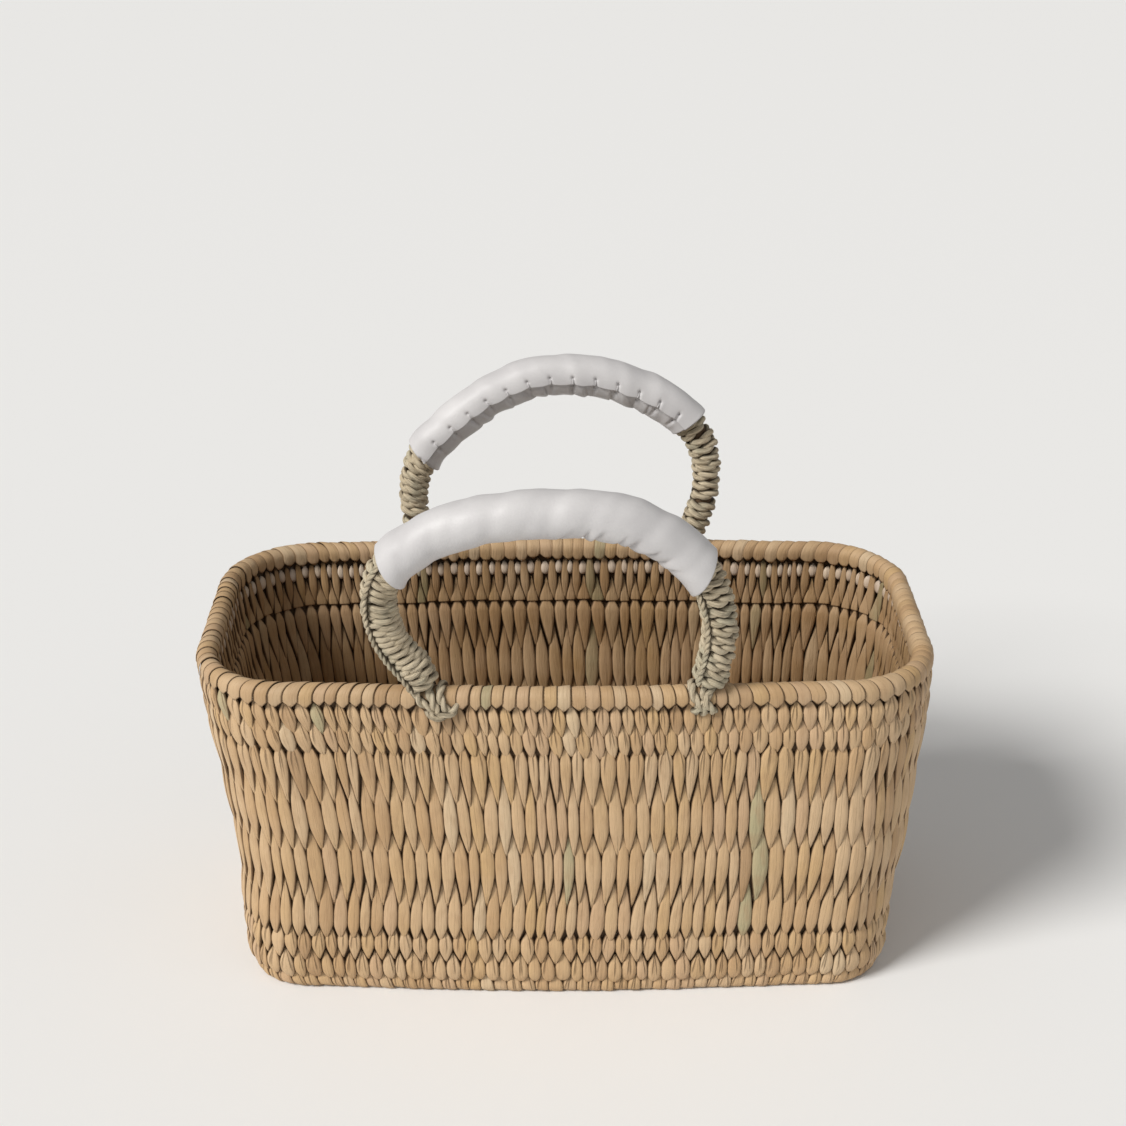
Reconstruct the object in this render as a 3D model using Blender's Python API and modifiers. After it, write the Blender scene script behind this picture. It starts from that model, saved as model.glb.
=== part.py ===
"""A woven leaf basket bag: a flared oblong basket with a wound rim and two arched handles.

Each course of the wall is a horizontal reed with leaf strips stitched over it, so the wall
is a thick, gently ribbed shell. The handles are wound with grass cord, wear white leather
grips and are held by cord loops that pass through the wall under the rim.
X runs along the basket's length, Y from its front to its back and Z up from the floor.
"""

import math
from collections import namedtuple

import bmesh
import bpy
from mathutils import Vector

# Basket sizes, in metres
RIM_LENGTH = 0.370
RIM_DEPTH = 0.183
RIM_CORNER = 0.049
RIM_ROLL_WIDTH = 0.0106
RIM_ROLL_HEIGHT = 0.0110
WALL_HEIGHT = 0.172
WALL_THICKNESS = 0.0065
RIB_DEPTH = 0.0008
SIDE_BOW = 0.005
FOOT_ROUNDING = 0.0028
BASE_THICKNESS = 0.006
LOWER_BORDER_HEIGHT = 0.0366
UPPER_BORDER_HEIGHT = 0.0242

# Handle sizes, in metres
HANDLE_REACH = 0.088
HANDLE_RISE = 0.0942
HANDLE_LEAN = 0.0096
GRIPPED_RADIUS = 0.0092
GRIP_RADIUS = 0.0112
GRIP_WALL = 0.0015
GRIP_GATHER = 0.0008
LOOP_WIDTH = 0.0135
LOOP_THICKNESS = 0.0036
LOOP_DROP = 0.0085
LOOP_BEND = 0.0005

# Every piece keeps this gap to its neighbour
CLEARANCE = 0.0003

# Facets
CORNER_STEPS = 6
LONG_SIDE_STEPS = 8
SHORT_SIDE_STEPS = 4
HOOP_STATIONS = 40
HOOP_SIDES = 10
GRIP_STATIONS = 40
GRIP_SIDES = 12
FINE_STEPS = 1200

# The wall's plan at several heights. Height is a share of WALL_HEIGHT. Left, right and depth
# are shares of half the rim's length and depth, and corner is a share of RIM_CORNER.
Section = namedtuple("Section", "height left right depth corner")
SECTIONS = (
    Section(0.00, 0.884, 0.892, 0.880, 0.60),
    Section(0.06, 0.906, 0.914, 0.896, 0.62),
    Section(0.17, 0.916, 0.924, 0.906, 0.68),
    Section(0.28, 0.919, 0.935, 0.914, 0.76),
    Section(0.40, 0.924, 0.956, 0.925, 0.84),
    Section(0.55, 0.939, 0.970, 0.940, 0.89),
    Section(0.70, 0.959, 0.981, 0.955, 0.94),
    Section(0.84, 0.979, 0.993, 0.972, 0.98),
    Section(1.00, 0.993, 0.998, 0.988, 1.00),
)

# The reeds of the wall. Height is a share of WALL_HEIGHT and spread is how far the rib's
# swell reaches above and below the reed, also as a share of WALL_HEIGHT.
Course = namedtuple("Course", "height spread")
COURSES = (
    Course(0.081, 0.040),
    Course(0.169, 0.040),
    Course(0.256, 0.050),
    Course(0.459, 0.080),
    Course(0.610, 0.080),
    Course(0.820, 0.050),
    Course(0.901, 0.038),
    Course(0.971, 0.034),
)

# The line of each handle. Across is a share of HANDLE_REACH from the basket's middle, and
# rise is a share of HANDLE_RISE above the rim's top.
HoopPoint = namedtuple("HoopPoint", "across rise")
FRONT_HOOP = (
    HoopPoint(-0.739, -0.053),
    HoopPoint(-0.773, 0.021),
    HoopPoint(-0.811, 0.098),
    HoopPoint(-0.900, 0.215),
    HoopPoint(-0.966, 0.334),
    HoopPoint(-0.998, 0.467),
    HoopPoint(-0.989, 0.600),
    HoopPoint(-0.927, 0.720),
    HoopPoint(-0.812, 0.817),
    HoopPoint(-0.684, 0.889),
    HoopPoint(-0.555, 0.937),
    HoopPoint(-0.409, 0.971),
    HoopPoint(-0.257, 0.992),
    HoopPoint(-0.110, 0.999),
    HoopPoint(0.040, 1.000),
    HoopPoint(0.188, 0.989),
    HoopPoint(0.330, 0.958),
    HoopPoint(0.466, 0.896),
    HoopPoint(0.589, 0.815),
    HoopPoint(0.691, 0.721),
    HoopPoint(0.766, 0.607),
    HoopPoint(0.810, 0.476),
    HoopPoint(0.827, 0.334),
    HoopPoint(0.814, 0.189),
    HoopPoint(0.783, 0.048),
    HoopPoint(0.761, -0.053),
)
BACK_HOOP = (
    HoopPoint(-0.864, -0.053),
    HoopPoint(-0.892, 0.016),
    HoopPoint(-0.924, 0.123),
    HoopPoint(-0.939, 0.242),
    HoopPoint(-0.931, 0.362),
    HoopPoint(-0.901, 0.473),
    HoopPoint(-0.839, 0.575),
    HoopPoint(-0.753, 0.659),
    HoopPoint(-0.655, 0.739),
    HoopPoint(-0.556, 0.811),
    HoopPoint(-0.450, 0.879),
    HoopPoint(-0.330, 0.937),
    HoopPoint(-0.207, 0.979),
    HoopPoint(-0.084, 0.999),
    HoopPoint(0.052, 1.000),
    HoopPoint(0.177, 0.992),
    HoopPoint(0.307, 0.967),
    HoopPoint(0.427, 0.929),
    HoopPoint(0.545, 0.879),
    HoopPoint(0.653, 0.820),
    HoopPoint(0.752, 0.743),
    HoopPoint(0.832, 0.648),
    HoopPoint(0.880, 0.534),
    HoopPoint(0.894, 0.415),
    HoopPoint(0.885, 0.291),
    HoopPoint(0.855, 0.178),
    HoopPoint(0.811, 0.074),
    HoopPoint(0.773, -0.053),
)

# The cord-wound core's radius at the feet in metres, and the places of the two loops that
# carry the feet, as shares of HANDLE_REACH.
Core = namedtuple("Core", "foot_radius left_loop right_loop")
FRONT_CORE = Core(0.0089, -0.700, 0.750)
BACK_CORE = Core(0.0077, -0.875, 0.785)

# The leather grip covers this stretch of each handle's line, in shares of its length. Each
# end is cut aslant, longer along the inside of the arch, by this share of the grip's radius.
# Its gathers lie between the last two values.
GripSpan = namedtuple("GripSpan", "start end start_slant end_slant gather_start gather_end")
FRONT_GRIP = GripSpan(0.2475, 0.7790, 0.42, 0.58, 0.52, 0.76)
BACK_GRIP = GripSpan(0.1870, 0.7420, 0.33, -0.10, 0.22, 0.72)
GATHER_PITCH = 0.0122


def blended(table, at, column):
    """Value of a table's column at a height, along a smooth curve through its rows."""
    rows = [(row.height, getattr(row, column)) for row in table]
    for i in range(len(rows) - 1):
        low, high = rows[i], rows[i + 1]
        if at <= high[0] or i == len(rows) - 2:
            break
    share = (at - low[0]) / (high[0] - low[0])
    before, after = rows[max(i - 1, 0)], rows[min(i + 2, len(rows) - 1)]
    slope_low = (high[1] - before[1]) / (high[0] - before[0])
    slope_high = (after[1] - low[1]) / (after[0] - low[0])
    run = high[0] - low[0]
    return (
        (2 * share**3 - 3 * share**2 + 1) * low[1]
        + (share**3 - 2 * share**2 + share) * run * slope_low
        + (3 * share**2 - 2 * share**3) * high[1]
        + (share**3 - share**2) * run * slope_high
    )


def plan(z, inset=0.0):
    """Closed plan outline of the wall at height z, moved inwards by inset, counterclockwise."""
    height = z / WALL_HEIGHT
    left = RIM_LENGTH / 2 * blended(SECTIONS, height, "left") - inset
    right = RIM_LENGTH / 2 * blended(SECTIONS, height, "right") - inset
    depth = (RIM_DEPTH / 2 - SIDE_BOW) * blended(SECTIONS, height, "depth") - inset
    corner = RIM_CORNER * blended(SECTIONS, height, "corner") - inset
    x_ends = (-left + corner, right - corner)
    y_ends = (-depth + corner, depth - corner)

    def long_side(share, side):
        across = 2 * share - 1
        bow = SIDE_BOW * (1 - across * across) ** 1.5
        x = (x_ends[0] + x_ends[1]) / 2 - side * across * (x_ends[1] - x_ends[0]) / 2
        return Vector((x, side * (depth + bow)))

    def short_side(share, side, reach):
        y = y_ends[0] + (y_ends[1] - y_ends[0]) * (share if side > 0 else 1 - share)
        return Vector((side * reach, y))

    def quarter(centre_x, centre_y, start):
        turns = [start + math.pi / 2 * i / CORNER_STEPS for i in range(CORNER_STEPS)]
        return [
            Vector((centre_x + corner * math.cos(t), centre_y + corner * math.sin(t)))
            for t in turns
        ]

    points = [long_side(i / LONG_SIDE_STEPS, -1) for i in range(LONG_SIDE_STEPS)]
    points += quarter(x_ends[1], y_ends[0], -math.pi / 2)
    points += [short_side(i / SHORT_SIDE_STEPS, 1, right) for i in range(SHORT_SIDE_STEPS)]
    points += quarter(x_ends[1], y_ends[1], 0)
    points += [long_side(i / LONG_SIDE_STEPS, 1) for i in range(LONG_SIDE_STEPS)]
    points += quarter(x_ends[0], y_ends[1], math.pi / 2)
    points += [short_side(i / SHORT_SIDE_STEPS, -1, left) for i in range(SHORT_SIDE_STEPS)]
    points += quarter(x_ends[0], y_ends[0], math.pi)
    return points


def swell(z):
    """How far the wall stands out over the reeds at height z."""
    height = z / WALL_HEIGHT
    rises = [
        math.cos(math.pi / 2 * min(1.0, abs(height - row.height) / row.spread)) ** 2
        for row in COURSES
    ]
    return RIB_DEPTH * max(rises)


def ring(z, inset):
    return [Vector((p.x, p.y, z)) for p in plan(z, inset)]


def lofted(name, rings, closed_loop):
    """Mesh through successive rings of equal count, either a closed loop or capped."""
    mesh = bpy.data.meshes.new(name)
    shape = bmesh.new()
    rows = [[shape.verts.new(point) for point in points] for points in rings]
    pairs = list(zip(rows, rows[1:] + rows[:1])) if closed_loop else list(zip(rows, rows[1:]))
    for first, second in pairs:
        for i in range(len(first)):
            j = (i + 1) % len(first)
            shape.faces.new((first[i], first[j], second[j], second[i]))
    if not closed_loop:
        shape.faces.new(rows[0][::-1])
        shape.faces.new(rows[-1])
    bmesh.ops.recalc_face_normals(shape, faces=shape.faces)
    shape.to_mesh(mesh)
    shape.free()
    return mesh


def principled(name, colour, roughness):
    material = bpy.data.materials.new(name)
    material.use_nodes = True
    shader = material.node_tree.nodes["Principled BSDF"]
    shader.inputs["Base Color"].default_value = (*colour, 1.0)
    shader.inputs["Roughness"].default_value = roughness
    shader.inputs["Metallic"].default_value = 0.0
    return material


def placed(name, mesh, collection, material=None):
    piece = bpy.data.objects.new(name, mesh)
    collection.objects.link(piece)
    if material:
        mesh.materials.append(material)
        mesh.shade_smooth()
        mesh.set_sharp_from_angle(angle=math.radians(40))
    return piece


def band_heights(low, high):
    """Heights for a band of the wall: its edges, each reed and the valleys between reeds."""
    levels = [row.height * WALL_HEIGHT for row in COURSES]
    inside = [z for z in levels if low < z < high]
    valleys = [(a + b) / 2 for a, b in zip(inside, inside[1:])]
    slopes = []
    for reed in inside:
        spread = next(row.spread for row in COURSES if row.height * WALL_HEIGHT == reed)
        reach = spread * WALL_HEIGHT * 0.62
        slopes += [reed - reach, reed + reach]
    between = sorted(z for z in valleys + slopes if low + 0.002 < z < high - 0.002)
    return inside, between


def wall_band(name, low, high, rounded_foot, collection, material):
    """A ring of the wall between two heights, ribbed over its reeds on both faces."""
    reeds, between = band_heights(low, high)
    outer_levels = sorted(reeds + between)
    outer = [(0.0, low)]
    if rounded_foot:
        outer = [(FOOT_ROUNDING, low), (FOOT_ROUNDING * 0.3, low + FOOT_ROUNDING * 0.3)]
        outer += [(0.0, low + FOOT_ROUNDING)]
    outer += [(-swell(z), z) for z in outer_levels]
    outer += [(0.0, high)]
    inner = [(WALL_THICKNESS, high)]
    inner += [(WALL_THICKNESS + swell(z), z) for z in sorted(reeds, reverse=True)]
    inner += [(WALL_THICKNESS, low)]
    rings = [ring(z, inset) for inset, z in outer + inner]
    return placed(name, lofted(name, rings, True), collection, material)


def rim_roll(collection, material):
    """The wound roll that closes the top edge, flat where it sits on the wall."""
    low = WALL_HEIGHT + CLEARANCE
    middle = low + RIM_ROLL_HEIGHT / 2
    steps = 10
    section = []
    for i in range(steps):
        turn = -math.pi / 2 + 2 * math.pi * (i + 0.5) / steps
        across = RIM_ROLL_WIDTH / 2 * (1 - math.cos(turn))
        up = max(low, middle + RIM_ROLL_HEIGHT / 2 * math.sin(turn) * 1.04)
        section.append((across, min(up, low + RIM_ROLL_HEIGHT)))
    rings = [
        [Vector((p.x, p.y, z)) for p in rim_plan(inset)] for inset, z in section
    ]
    return placed("rim_binding", lofted("rim_binding", rings, True), collection, material)


def rim_plan(inset):
    """The rim's outline reaches the full rim length and depth at its outer face."""
    height = WALL_HEIGHT
    wall = plan(height, 0.0)
    full = Vector((RIM_LENGTH / 2, RIM_DEPTH / 2))
    most = Vector((max(abs(p.x) for p in wall), max(abs(p.y) for p in wall)))
    inner = plan(height, inset)
    left = max(-p.x for p in wall)
    right = max(p.x for p in wall)
    grown = []
    for p in inner:
        side = full.x - (right if p.x > 0 else left)
        push_x = side * min(1.0, abs(p.x) / most.x)
        push_y = (full.y - most.y) * min(1.0, abs(p.y) / most.y)
        grown.append(Vector((p.x + math.copysign(push_x, p.x), p.y + math.copysign(push_y, p.y))))
    return grown


def base_panel(collection, material):
    """The flat stitched floor, held inside the lower border."""
    levels = (0.0, BASE_THICKNESS / 2, BASE_THICKNESS)
    rings = [ring(z, WALL_THICKNESS + RIB_DEPTH + CLEARANCE) for z in levels]
    return placed("base_panel", lofted("base_panel", rings, False), collection, material)


def rim_crest(x, side):
    """Point on the rim's top above the middle of its roll, and the rim's direction there."""
    crest = [p for p in rim_plan(RIM_ROLL_WIDTH / 2) if p.y * side > 0]
    crest.sort(key=lambda p: p.x)
    for a, b in zip(crest, crest[1:]):
        if a.x <= x <= b.x:
            share = (x - a.x) / (b.x - a.x)
            top = WALL_HEIGHT + CLEARANCE + RIM_ROLL_HEIGHT
            point = a.lerp(b, share)
            return Vector((x, point.y, top)), math.atan2(b.y - a.y, b.x - a.x)
    raise ValueError("no rim at this place")


def hoop_line(hoop, side, stations):
    """Evenly spaced points along the smooth line of a handle, from left foot to right foot."""
    foot, _ = rim_crest(HANDLE_REACH * hoop[0].across, side)
    places = []
    for point in hoop:
        x = HANDLE_REACH * point.across
        rise = HANDLE_RISE * point.rise
        lean = HANDLE_LEAN * max(0.0, point.rise)
        places.append(Vector((x, foot.y + side * lean, foot.z + rise)))
    padded = [places[0] * 2 - places[1], *places, places[-1] * 2 - places[-2]]
    fine = []
    for a, b, c, d in zip(padded, padded[1:], padded[2:], padded[3:]):
        for step in range(12):
            t = step / 12
            fine.append(
                0.5
                * (
                    2 * b
                    + (c - a) * t
                    + (2 * a - 5 * b + 4 * c - d) * t * t
                    + (3 * b - a - 3 * c + d) * t**3
                )
            )
    fine.append(places[-1])
    lengths = [0.0]
    for a, b in zip(fine, fine[1:]):
        lengths.append(lengths[-1] + (b - a).length)
    line = []
    for i in range(stations):
        target = lengths[-1] * i / (stations - 1)
        j = next(k for k in range(1, len(fine)) if lengths[k] >= target - 1e-12)
        share = (target - lengths[j - 1]) / (lengths[j] - lengths[j - 1])
        line.append(fine[j - 1].lerp(fine[j], share))
    return line


def frames_of(line, side):
    """For each station: its point, the handle's direction, outward in its plane, and sideways."""
    lean = math.atan2(HANDLE_LEAN, HANDLE_RISE)
    plane_normal = Vector((0, side * math.cos(lean), -math.sin(lean)))
    frames = []
    for i, point in enumerate(line):
        ahead = line[min(i + 1, len(line) - 1)] - line[max(i - 1, 0)]
        along = ahead.normalized()
        outward = (plane_normal.cross(along) * -side).normalized()
        frames.append((point, along, outward, outward.cross(along) * side))
    return frames


def wound_handle(name, hoop, core, grip, side, collection, material):
    """The cord-wound arch, growing fuller from its feet to its grip, cut level over its loops."""
    line = hoop_line(hoop, side, HOOP_STATIONS)
    rings = []
    for i, (point, _, outward, sideways) in enumerate(frames_of(line, side)):
        share = i / (HOOP_STATIONS - 1)
        along_leg = min(1.0, share / grip.start, (1 - share) / (1 - grip.end))
        radius = core.foot_radius + (GRIPPED_RADIUS - core.foot_radius) * along_leg**3
        rings.append(
            [
                point + radius * (outward * math.cos(turn) + sideways * math.sin(turn))
                for turn in (2 * math.pi * k / HOOP_SIDES for k in range(HOOP_SIDES))
            ]
        )
    mesh = lofted(name, rings, False)
    cut = bmesh.new()
    cut.from_mesh(mesh)
    level = WALL_HEIGHT + RIM_ROLL_HEIGHT + LOOP_THICKNESS + 3 * CLEARANCE
    sliced = bmesh.ops.bisect_plane(
        cut,
        geom=cut.verts[:] + cut.edges[:] + cut.faces[:],
        dist=1e-6,
        plane_co=(0, 0, level),
        plane_no=(0, 0, -1),
        clear_outer=True,
    )
    edges = [e for e in sliced["geom_cut"] if isinstance(e, bmesh.types.BMEdge)]
    bmesh.ops.holes_fill(cut, edges=edges, sides=0)
    bmesh.ops.recalc_face_normals(cut, faces=cut.faces)
    cut.to_mesh(mesh)
    cut.free()
    return placed(name, mesh, collection, material)


def leather_grip(name, hoop, grip, side, collection, material):
    """The leather sleeve: an open tube round the handle, gathered along its sewn edge."""
    frames = frames_of(hoop_line(hoop, side, FINE_STEPS + 1), side)
    step = (frames[1][0] - frames[0][0]).length
    length = (grip.end - grip.start) * FINE_STEPS * step
    mesh = bpy.data.meshes.new(name)
    shape = bmesh.new()
    rows = []
    for i in range(GRIP_STATIONS):
        along_grip = i / (GRIP_STATIONS - 1)
        at = grip.start + (grip.end - grip.start) * along_grip
        window = max(0.0, min(1.0, (at - grip.gather_start) * 12, (grip.gather_end - at) * 12))
        wave = math.cos(2 * math.pi * along_grip * length / GATHER_PITCH)
        slant = grip.start_slant * (1 - along_grip) ** 9 - grip.end_slant * along_grip**9
        row = []
        for k in range(GRIP_SIDES):
            turn = 2 * math.pi * k / GRIP_SIDES
            shift = slant * math.cos(turn) * GRIP_RADIUS
            point, _, outward, sideways = frames[round(at * FINE_STEPS + shift / step)]
            under = max(0.0, -math.cos(turn)) ** 1.5
            radius = GRIP_RADIUS + GRIP_GATHER * window * (1 + wave) / 2 * under
            offset = outward * math.cos(turn) + sideways * math.sin(turn)
            row.append(shape.verts.new(point + offset * radius))
        rows.append(row)
    for low, high in zip(rows, rows[1:]):
        for k in range(GRIP_SIDES):
            j = (k + 1) % GRIP_SIDES
            shape.faces.new((low[k], low[j], high[j], high[k]))
    bmesh.ops.recalc_face_normals(shape, faces=shape.faces)
    shape.to_mesh(mesh)
    shape.free()
    piece = placed(name, mesh, collection, material)
    shell = piece.modifiers.new("leather", "SOLIDIFY")
    shell.thickness = GRIP_WALL
    shell.offset = -1
    return piece


def loop_outline(grow):
    """Rounded upright outline round the rim, across the wall and up and down, from its middle."""
    half_width = RIM_ROLL_WIDTH / 2 + CLEARANCE + grow
    top = CLEARANCE + grow
    bottom = -RIM_ROLL_HEIGHT - LOOP_DROP + LOOP_THICKNESS - grow
    corner = LOOP_BEND + grow
    points = []
    for centre_y, centre_z, start in (
        (half_width - corner, top - corner, 0),
        (corner - half_width, top - corner, 90),
        (corner - half_width, bottom + corner, 180),
        (half_width - corner, bottom + corner, 270),
    ):
        for turn in (start, start + 45, start + 90):
            angle = math.radians(turn)
            points.append((centre_y + corner * math.cos(angle), centre_z + corner * math.sin(angle)))
    return points


def foot_loop(name, across, side, collection, material):
    """The cord loop round the rim that carries a handle's foot."""
    crest, heading = rim_crest(across, side)
    sides = [(grow, x) for grow, x in ((0, -1), (LOOP_THICKNESS, -1), (LOOP_THICKNESS, 1), (0, 1))]
    rings = []
    for grow, x in sides:
        rings.append([Vector((x * LOOP_WIDTH / 2, y, z)) for y, z in loop_outline(grow)])
    piece = placed(name, lofted(name, rings, True), collection, material)
    piece.location = crest
    piece.rotation_euler.z = heading
    return piece


def loop_passage(name, across, side, collection):
    """Cutter for the gap between strips that a foot loop passes through."""
    crest, heading = rim_crest(across, side)
    bpy.ops.mesh.primitive_cube_add(size=1)
    cutter = bpy.context.object
    cutter.name = name
    cutter.scale = (
        LOOP_WIDTH + 2 * CLEARANCE,
        RIM_ROLL_WIDTH + 2 * LOOP_THICKNESS + 4 * WALL_THICKNESS,
        LOOP_THICKNESS + 2 * CLEARANCE,
    )
    bpy.ops.object.transform_apply(location=False, rotation=False, scale=True)
    middle = crest.z - RIM_ROLL_HEIGHT - LOOP_DROP + LOOP_THICKNESS / 2
    cutter.location = (crest.x, crest.y, middle)
    cutter.rotation_euler.z = heading
    for owner in list(cutter.users_collection):
        owner.objects.unlink(cutter)
    collection.objects.link(cutter)
    cutter.hide_render = True
    cutter.display_type = "WIRE"
    return cutter


def build():
    for old in list(bpy.data.objects):
        bpy.data.objects.remove(old, do_unlink=True)
    basket = bpy.data.collections.new("woven_basket_bag")
    cutters = bpy.data.collections.new("cutters")
    for collection in (basket, cutters):
        bpy.context.scene.collection.children.link(collection)
    leaf = principled("palm_leaf", (0.56, 0.40, 0.23), 0.62)
    rim_leaf = principled("rim_leaf", (0.62, 0.45, 0.27), 0.58)
    cord = principled("grass_cord", (0.50, 0.42, 0.29), 0.75)
    leather = principled("white_leather", (0.83, 0.81, 0.80), 0.45)

    lower_top = LOWER_BORDER_HEIGHT
    upper_low = WALL_HEIGHT - UPPER_BORDER_HEIGHT
    base_panel(basket, leaf)
    wall_band("lower_border", 0.0, lower_top, True, basket, leaf)
    wall_band("side_wall", lower_top + CLEARANCE, upper_low - CLEARANCE, False, basket, leaf)
    upper = wall_band("upper_border", upper_low, WALL_HEIGHT, False, basket, leaf)
    rim_roll(basket, rim_leaf)

    for label, hoop, core, grip, side in (
        ("front", FRONT_HOOP, FRONT_CORE, FRONT_GRIP, -1),
        ("back", BACK_HOOP, BACK_CORE, BACK_GRIP, 1),
    ):
        wound_handle(f"{label}_handle", hoop, core, grip, side, basket, cord)
        leather_grip(f"{label}_grip", hoop, grip, side, basket, leather)
        for place, loop_across in (("left", core.left_loop), ("right", core.right_loop)):
            across = HANDLE_REACH * loop_across
            foot_loop(f"{label}_{place}_foot_loop", across, side, basket, cord)
            cutter = loop_passage(f"{label}_{place}_passage", across, side, cutters)
            cut = upper.modifiers.new(cutter.name, "BOOLEAN")
            cut.operation = "DIFFERENCE"
            cut.object = cutter


build()
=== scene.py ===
import math
from collections import namedtuple

import bmesh
import bpy
import numpy as np
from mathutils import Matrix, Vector


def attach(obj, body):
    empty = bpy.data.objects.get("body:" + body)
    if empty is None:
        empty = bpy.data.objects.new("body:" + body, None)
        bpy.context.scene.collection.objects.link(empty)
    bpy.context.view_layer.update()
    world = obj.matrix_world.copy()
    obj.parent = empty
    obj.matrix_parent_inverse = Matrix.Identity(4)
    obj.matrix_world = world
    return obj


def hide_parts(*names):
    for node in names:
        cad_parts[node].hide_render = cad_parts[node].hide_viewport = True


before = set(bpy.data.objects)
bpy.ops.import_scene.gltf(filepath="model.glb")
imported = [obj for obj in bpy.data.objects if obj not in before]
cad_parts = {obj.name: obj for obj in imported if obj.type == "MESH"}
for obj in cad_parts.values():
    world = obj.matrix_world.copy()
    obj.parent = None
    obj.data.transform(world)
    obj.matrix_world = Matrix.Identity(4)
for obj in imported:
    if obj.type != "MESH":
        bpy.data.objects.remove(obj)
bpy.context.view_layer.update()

# The place where the basket stands: a pale floor and soft daylight from a window on the left,
# with light returned from all round. The camera looks down over the front of the basket.
CAMERA_PLACE = (-0.0066, -0.9387, 0.65)
CAMERA_PITCH = 25.17
CAMERA_YAW = 0.35
LENS = 64.51
FLOOR_HALF = 6.0
FLOOR_TONE = (0.86, 0.86, 0.855)
SKY_TONE = (1.0, 0.995, 0.985)
SKY_STRENGTH = 0.29

camera = bpy.data.objects.new("camera", bpy.data.cameras.new("camera"))
camera.location = CAMERA_PLACE
camera.rotation_euler = (math.radians(90 - CAMERA_PITCH), 0, math.radians(-CAMERA_YAW))
camera.data.lens = LENS
camera.data.clip_start = 0.01
bpy.context.scene.collection.objects.link(camera)
bpy.context.scene.camera = camera

floor_mesh = bpy.data.meshes.new("floor")
floor_corners = [(x * FLOOR_HALF, y * FLOOR_HALF, 0) for x, y in ((-1, -1), (1, -1), (1, 1), (-1, 1))]
floor_mesh.from_pydata(floor_corners, [], [(0, 1, 2, 3)])
floor_finish = bpy.data.materials.new("floor_paint")
floor_finish.use_nodes = True
floor_shader = floor_finish.node_tree.nodes["Principled BSDF"]
floor_shader.inputs["Base Color"].default_value = (*FLOOR_TONE, 1)
floor_shader.inputs["Roughness"].default_value = 0.9
floor_mesh.materials.append(floor_finish)
floor = bpy.data.objects.new("floor", floor_mesh)
bpy.context.scene.collection.objects.link(floor)

sky = bpy.data.worlds.new("room")
sky.use_nodes = True
sky.node_tree.nodes["Background"].inputs["Color"].default_value = (*SKY_TONE, 1)
sky.node_tree.nodes["Background"].inputs["Strength"].default_value = SKY_STRENGTH
bpy.context.scene.world = sky
bpy.context.scene.view_settings.view_transform = "Standard"

Lamp = namedtuple("Lamp", "name place spread power tone")
LAMPS = (
    Lamp("window", (-1.5, -1.0, 1.6), 22, 2.95, (1.0, 0.985, 0.96)),
    Lamp("far_wall", (1.6, -0.6, 1.3), 80, 0.22, (1.0, 0.99, 0.97)),
)
for lamp in LAMPS:
    light = bpy.data.objects.new(lamp.name, bpy.data.lights.new(lamp.name, "SUN"))
    light.data.angle = math.radians(lamp.spread)
    light.data.energy = lamp.power
    light.data.color = lamp.tone
    light.location = lamp.place
    light.rotation_euler = (-Vector(lamp.place)).to_track_quat("-Z", "Y").to_euler()
    bpy.context.scene.collection.objects.link(light)

# The lower border: the foot of the wall, three low courses of folded palm-leaf strips stitched
# over cane reeds. The strips of each course are half a step off those of the course above.
RIM_LENGTH = 0.370
RIM_DEPTH = 0.183
RIM_CORNER = 0.049
WALL_HEIGHT = 0.172
WALL_THICKNESS = 0.0065
SIDE_BOW = 0.005
FOOT_ROUNDING = 0.0028

# The plan of the wall at several heights, as shares of the sizes above.
Section = namedtuple("Section", "height left right depth corner")
SECTIONS = (
    Section(0.00, 0.884, 0.892, 0.880, 0.60),
    Section(0.06, 0.906, 0.914, 0.896, 0.62),
    Section(0.17, 0.916, 0.924, 0.906, 0.68),
    Section(0.28, 0.919, 0.935, 0.914, 0.76),
    Section(0.40, 0.924, 0.956, 0.925, 0.84),
    Section(0.55, 0.939, 0.970, 0.940, 0.89),
    Section(0.70, 0.959, 0.981, 0.955, 0.94),
    Section(0.84, 0.979, 0.993, 0.972, 0.98),
    Section(1.00, 0.993, 0.998, 0.988, 1.00),
)


def blended(table, at, column):
    """Value of a table's column at a height, along a smooth curve through its rows."""
    rows = [(row.height, getattr(row, column)) for row in table]
    for i in range(len(rows) - 1):
        low, high = rows[i], rows[i + 1]
        if at <= high[0] or i == len(rows) - 2:
            break
    share = (at - low[0]) / (high[0] - low[0])
    before, after = rows[max(i - 1, 0)], rows[min(i + 2, len(rows) - 1)]
    slope_low = (high[1] - before[1]) / (high[0] - before[0])
    slope_high = (after[1] - low[1]) / (after[0] - low[0])
    run = high[0] - low[0]
    return (
        (2 * share**3 - 3 * share**2 + 1) * low[1]
        + (share**3 - 2 * share**2 + share) * run * slope_low
        + (3 * share**2 - 2 * share**3) * high[1]
        + (share**3 - share**2) * run * slope_high
    )


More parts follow.
